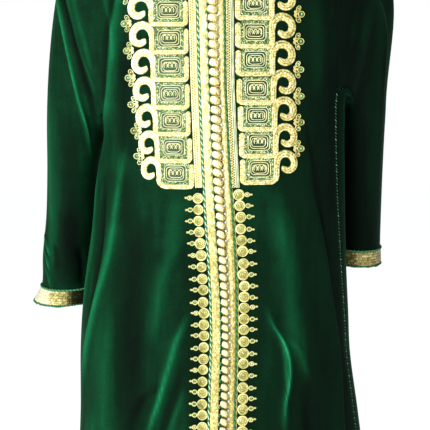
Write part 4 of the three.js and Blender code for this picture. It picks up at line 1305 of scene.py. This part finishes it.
def add_bud(buds, beads, at, column, number):
    """Three small leaves of fine cord on a filled heart, in the notch between two scrolls."""
    lift = column["bud_up"] + 0.45 * (number - 2)
    reach = column["outer"][number] + column["bud_reach"] * (1 - column["bud_narrower"] * number)
    root = np.array([reach - 11.5, 24.0 + lift])
    # Painted light: the buds are paler on the lit left side and darker on the right.
    tone = 0.66 + 0.7 * column["painted_side_light"]
    for out, up, long, wide, degrees in BUD_LEAVES:
        place, tilt = np.array([reach + out, up + lift]), math.radians(degrees)
        leaf = oval(circle(14), long, wide) * (1 + 0.05 * rng.normal())
        spun = np.stack([leaf[:, 0] * math.cos(tilt) - leaf[:, 1] * math.sin(tilt),
                         leaf[:, 0] * math.sin(tilt) + leaf[:, 1] * math.cos(tilt)], -1)
        lay_cord(buds, at(place + spun), *CORDS["leaf"], tone + 0.1 * rng.normal(), closed=True)
        lay_balls(beads, [(*at(place), 0.7)], (wide * 0.9, wide * 0.9, 0.9), 0.25 * rng.random() - 0.06, BALL)
        heart = at(place + np.array([0.6, 0.5]))
        lay_balls(beads, [(*heart, 1.5)], (1.1, 1.1, 0.8), 0.35 + 0.5 * rng.random(), BALL)
        stem, _ = resample(np.array([mix(root, place, 0.1), mix(place, root, 0.4)]), 1.6)
        lay_cord(buds, at(stem), *CORDS["stem"], tone - 0.06)


def add_plastron(name):
    column, side = PLASTRON[name], SIDES[name]
    cord, fine, beads, buds = Heap(), Heap(), Heap(), Heap()

    def value(along, share):
        return cord_value(along, share) + scroll_tone(along, share, column["painted_side_light"])

    for k, (z, beside) in enumerate(zip(column["z"], column["from_centre"])):
        middle = np.array([float(centre_front(z)) + side * beside, z])

        def at(local, middle=middle):
            return middle + np.asarray(local, float) * (side, 1)

        path, wide = thick_cord_path(column, k)
        lay_ribbon(cord, at(path), 13, wide, cord_height, value, 0.8)
        add_field(fine, beads, at, column, k)
        add_bud(buds, beads, at, column, k)
    nodes = [f"tablet_{name}_{k + 1}" for k in range(TABLET_COUNT)]
    finish_heap("couched_cord_" + name, cord, PALE_GOLD, nodes)
    finish_heap("fine_cords_" + name, fine, FINE)
    finish_heap("plastron_beads_" + name, beads, BEADS)
    finish_heap("buds_" + name, buds, PALE_GOLD)


for name in PLASTRON:
    add_plastron(name)

# ---- spike trims ----
# Each row's painted side light brightens its upper discs, more on the lit left side.
SPIKES = {
    "left": {"top": -436.4, "pitch": 17.7, "disc": 10.1, "radius": 7.45,
             "ring": 12.3, "knot": 18.2, "painted_side_light": 0.22},
    "right": {"top": -431.2, "pitch": 17.45, "disc": 11.2, "radius": 7.8,
              "ring": 12.8, "knot": 19.0, "painted_side_light": 0.06},
}
SPIKE = {"count": 32, "coil_turns": 3.6, "ring": (3.4, 2.9), "knot": (1.6, 0.9)}
COIL = np.linspace(0, 2 * np.pi * SPIKE["coil_turns"], 60)


def along_coil(stops, values):
    """Reads values along a disc's coil. The stops are in turns, and the last one is its end."""
    return np.interp(COIL, [*(2 * np.pi * stop for stop in stops), COIL[-1]], values)


def add_spikes(name):
    """Below the plastron: a coiled disc, a small ring and a knot, one set below the other."""
    row, side = SPIKES[name], SIDES[name]
    wide = row["radius"]
    heap, beads = Heap(), Heap()
    for k in range(SPIKE["count"]):
        z = row["top"] - k * row["pitch"]
        jitter = rng.normal(0, 1, 5)
        beside = float(edge_at((name, side * row["disc"]), z))
        middle = np.array([beside + 0.5 * jitter[0], z + 0.7 * jitter[1]])
        radius = along_coil((0, 1), [wide, wide - 0.3, 0.9]) * (1 + 0.03 * jitter[2])
        turn = COIL + rng.random() * 2 * np.pi
        high = along_coil((0, 1), [1.45, 1.35, 1.0])
        # Painted light on each coil: lighter towards one upper side and darker opposite, and the upper discs
        # lighter by the painted side light.
        lit = 0.14 * np.cos(turn - 2.4) + row["painted_side_light"] * (1 - ramp((row["top"] - z) / 130)) - 0.06
        value = along_coil((0, 1, 1.3), [0.95, 0.9, 0.8, 0.55]) + lit + 0.06 * jitter[4]
        value = value + rng.normal(0, 0.13, len(COIL))
        lay_cord(heap, middle + oval(turn, radius * side, radius), high * 1.05, 0.92, high, value)
        lay_balls(heap, [(*middle, 0.3)], (wide - 0.3, wide - 0.3, 0.9), 0.2, BALL)
        lay_balls(beads, [(*middle, 1.1)], (1.5, 1.5, 0.9), 0.3 + 0.3 * rng.random(), BALL)
        sag = 0.6 * jitter[3]
        ring_at = middle + np.array([side * row["ring"], sag])
        lay_cord(heap, ring_at + oval(circle(14), *SPIKE["ring"]), *CORDS["spike_ring"], 0.8, closed=True)
        value = 0.1 + 0.2 * rng.random() + 0.6 * (k % 5 == 0)
        lay_balls(beads, [(*ring_at, 1.0)], (1.7, 1.5, 1.0), value, BALL)
        knot = middle + np.array([side * row["knot"], sag * 1.6])
        lay_cord(heap, knot + oval(circle(8), *SPIKE["knot"]), *CORDS["spike_knot"], 0.74, 5, True)
    if name == "right":
        path = edge_path((name, 2.2), np.arange(row["top"] + 8, TRIM_END, -4.0))
        lay_cord(heap, path, *CORDS["spike_line"], 0.75, 5)
    finish_heap("spike_discs_" + name, heap, DISC_GOLD, ["spikes_" + name])
    finish_heap("spike_centres_" + name, beads, BEADS)


for name in SPIKES:
    add_spikes(name)


# ---- cuffs ----
def lay_on_sleeve(side):
    """Takes (place round the sleeve, z, height) to the row frame. A place is a share of the way round."""
    points, normals, _, levels = SLEEVE_GRIDS[side]
    rows, facing = points[-len(levels):], normals[-len(levels):]
    steps = np.linalg.norm(np.roll(rows, -1, 1) - rows, axis=2).mean(0)
    lengths = np.concatenate([[0], np.cumsum(steps)])

    def lay(flat):
        around, z, height = np.asarray(flat, float).T
        column = np.interp(around % 1.0, lengths / lengths[-1], np.arange(len(lengths)))
        row = np.interp(-z, -levels, np.arange(len(levels)))
        base = blend(rows, row, column)
        base[:, 2] += np.minimum(z - levels[-1], 0)
        return base + unit(blend(facing, row, column)) * height[:, None]

    return lay


# What a cuff's gold gains at its lit end and loses on its shaded side: from this x, over so far, how much.
CUFF_LIGHT = {"left": [(-264, -34, 0.7), (-252, 16, -0.65)], "right": [(222, -24, 0.14)]}
CUFF = {"stations": 330, "levels": 25, "rows": 5.5, "loops": 120, "loop_pitch": 2.75, "cord_turns": 55,
        "strand": 1.05, "off_middle": 0.9}
# The cords at a cuff's upper and lower edge: how far above it, their height, how loosely they lie, and the
# values of their strands.
CUFF_CORDS = ((1.4, 1.1, 0.3, (0.27, 0.58)), (-1.6, 0.3, 1.0, (0.12, 0.46)))


def add_cuff(side):
    """The band at the wrist: rows of small gold loops between two twisted green cords."""
    upper, lower = SLEEVES[side]["cuff"]
    lay = lay_on_sleeve(side)
    band, cords = Heap(), Heap()
    count = CUFF["stations"] + 1
    z = np.linspace(upper, lower, CUFF["levels"])
    z[0], z[-1] = upper + 0.2, lower - 0.2
    share, level = np.meshgrid(np.linspace(0, 1, count), z, indexing="ij")
    across = (upper - level) / (upper - lower) * CUFF["rows"]
    row, rows = np.floor(across), np.abs(np.sin(across * np.pi))
    loop = share * CUFF["stations"] / CUFF["loop_pitch"] + 0.5 * row
    loops = 0.5 + 0.5 * np.cos(2 * np.pi * loop)
    cells = rng.random((CUFF["loops"] + 1, 7))[np.floor(loop).astype(int) % CUFF["loops"], row.astype(int)]
    grain = rng.random(share.shape)
    high = 0.5 + 1.1 * rows * (0.55 + 0.45 * loops) + 0.12 * grain
    high[:, [0, -1]] = 0.1
    shade = 0.02 + (0.15 + 0.8 * cells) * (0.35 + 0.65 * rows * loops) + 0.25 * grain
    x = lay(np.stack([share, level, high], -1).reshape(-1, 3))[:, 0].reshape(share.shape)
    for start, far, gain in CUFF_LIGHT[side]:
        shade += gain * ramp((x - start) / far)
    high[-1], shade[-1] = high[0], shade[0]
    band.add(np.stack([share, level, high], -1), grid_faces(*share.shape), shade.reshape(-1))
    places, ring = np.arange(count) / count, circle(5)
    stops = np.linspace(0, 1, CUFF["cord_turns"] + 1)
    for edge, (above, height, loose, values) in zip((upper, lower), CUFF_CORDS):
        uneven = np.resize(rng.normal(0, 0.55, CUFF["cord_turns"]), len(stops))
        middle = edge + above + np.interp(places, stops, uneven) * loose
        for k, value in enumerate(values):
            turn = circle(count) * CUFF["cord_turns"] + np.pi * k
            level = (middle + CUFF["off_middle"] * np.cos(turn))[:, None] + CUFF["strand"] * np.sin(ring)
            high = (height + CUFF["off_middle"] * np.sin(turn))[:, None] + CUFF["strand"] * np.cos(ring)
            points = np.stack([places[:, None] + 0 * ring, level, high], -1)
            cords.add(points, tube_faces(count, 5, True), value)
    finish_heap("cuff_band_" + side, band, CUFF_GOLD, ["cuff_" + side], lay)
    finish_heap("cuff_cords_" + side, cords, GREEN,
                ["cuff_cord_upper_" + side, "cuff_cord_lower_" + side], lay)


for side in SIDES:
    add_cuff(side)


# ---- neck and side seams ----
def row_tube(heap, path, radius, sides, closed, value):
    """A tube along points in the row frame."""
    along = heading(path, closed)
    first = unit(np.cross(along, np.array([0.3, 0.2, 1.0])))
    second = np.cross(along, first)
    turn = circle(sides)[:, None]
    ring = first[:, None] * np.cos(turn) + second[:, None] * np.sin(turn)
    heap.add(path[:, None] + ring * radius, tube_faces(len(path), sides, closed), value)


BINDING = {"radius": 2.3, "out": 1.2, "tone_and_painted_light": 0.08}
STITCH = {"radius": 0.5, "half_wide": 1.3, "long": 3.1, "raised": 0.7, "apart": 5}


def add_neck_binding():
    parts, facings = [], []
    for (points, normals, _), order in ((FRONTS["left"], -1), (FRONTS["right"], 1), (BACK, 1)):
        inside = np.abs(points[0, :, 0]) < NECK["half_width"] - 0.5
        parts.append(points[0][inside][::order])
        facings.append(normals[0][inside][::order])
    path, facing = np.concatenate(parts), np.concatenate(facings)
    keep = np.concatenate([[True], np.linalg.norm(np.diff(path, axis=0), axis=1) > 0.5])
    path, facing = path[keep], facing[keep]
    path = path + unit(np.cross(facing, heading(path, True))) * BINDING["out"] - facing * CLOTH / 2
    for _ in range(3):
        path = (np.roll(path, 1, 0) + 2 * path + np.roll(path, -1, 0)) / 4
    heap = Heap()
    row_tube(heap, path, BINDING["radius"], 10, True, BASE_NAP + BINDING["tone_and_painted_light"])
    finish_heap("neck_binding_cord", heap, VELVET, ["neck_binding"], None, "tone_and_painted_light")


def add_side_stitches(side):
    """The raised hand seam over a side seam: small slanting stitches, one after another."""
    points, normals = (grid[underarm_row(side):, -1] for grid in FRONTS[side][:2])
    seam, _ = resample(points, 1.0)
    facing = normals[np.linspace(0, len(normals) - 1, len(seam)).astype(int)]
    along = heading(seam)
    across = unit(np.cross(facing, along))
    heap, step, wide = Heap(), np.linspace(0, 1, 4)[:, None], STITCH["half_wide"]
    for k, start in enumerate(range(3, len(seam) - 6, STITCH["apart"])):
        length = STITCH["long"] + 0.5 * rng.normal()
        line = (seam[start] + across[start] * mix(-wide, wide, step) + along[start] * mix(0, length, step)
                + facing[start] * (STITCH["raised"] + SEAM["dip"] * 0.6))
        row_tube(heap, line, STITCH["radius"], 5, False, (0.05 if k % 2 else 0.44) + 0.2 * rng.random())
    finish_heap("side_stitches_" + side, heap, GREEN, ["side_stitch_" + side], None)


add_neck_binding()
for side in SIDES:
    add_side_stitches(side)
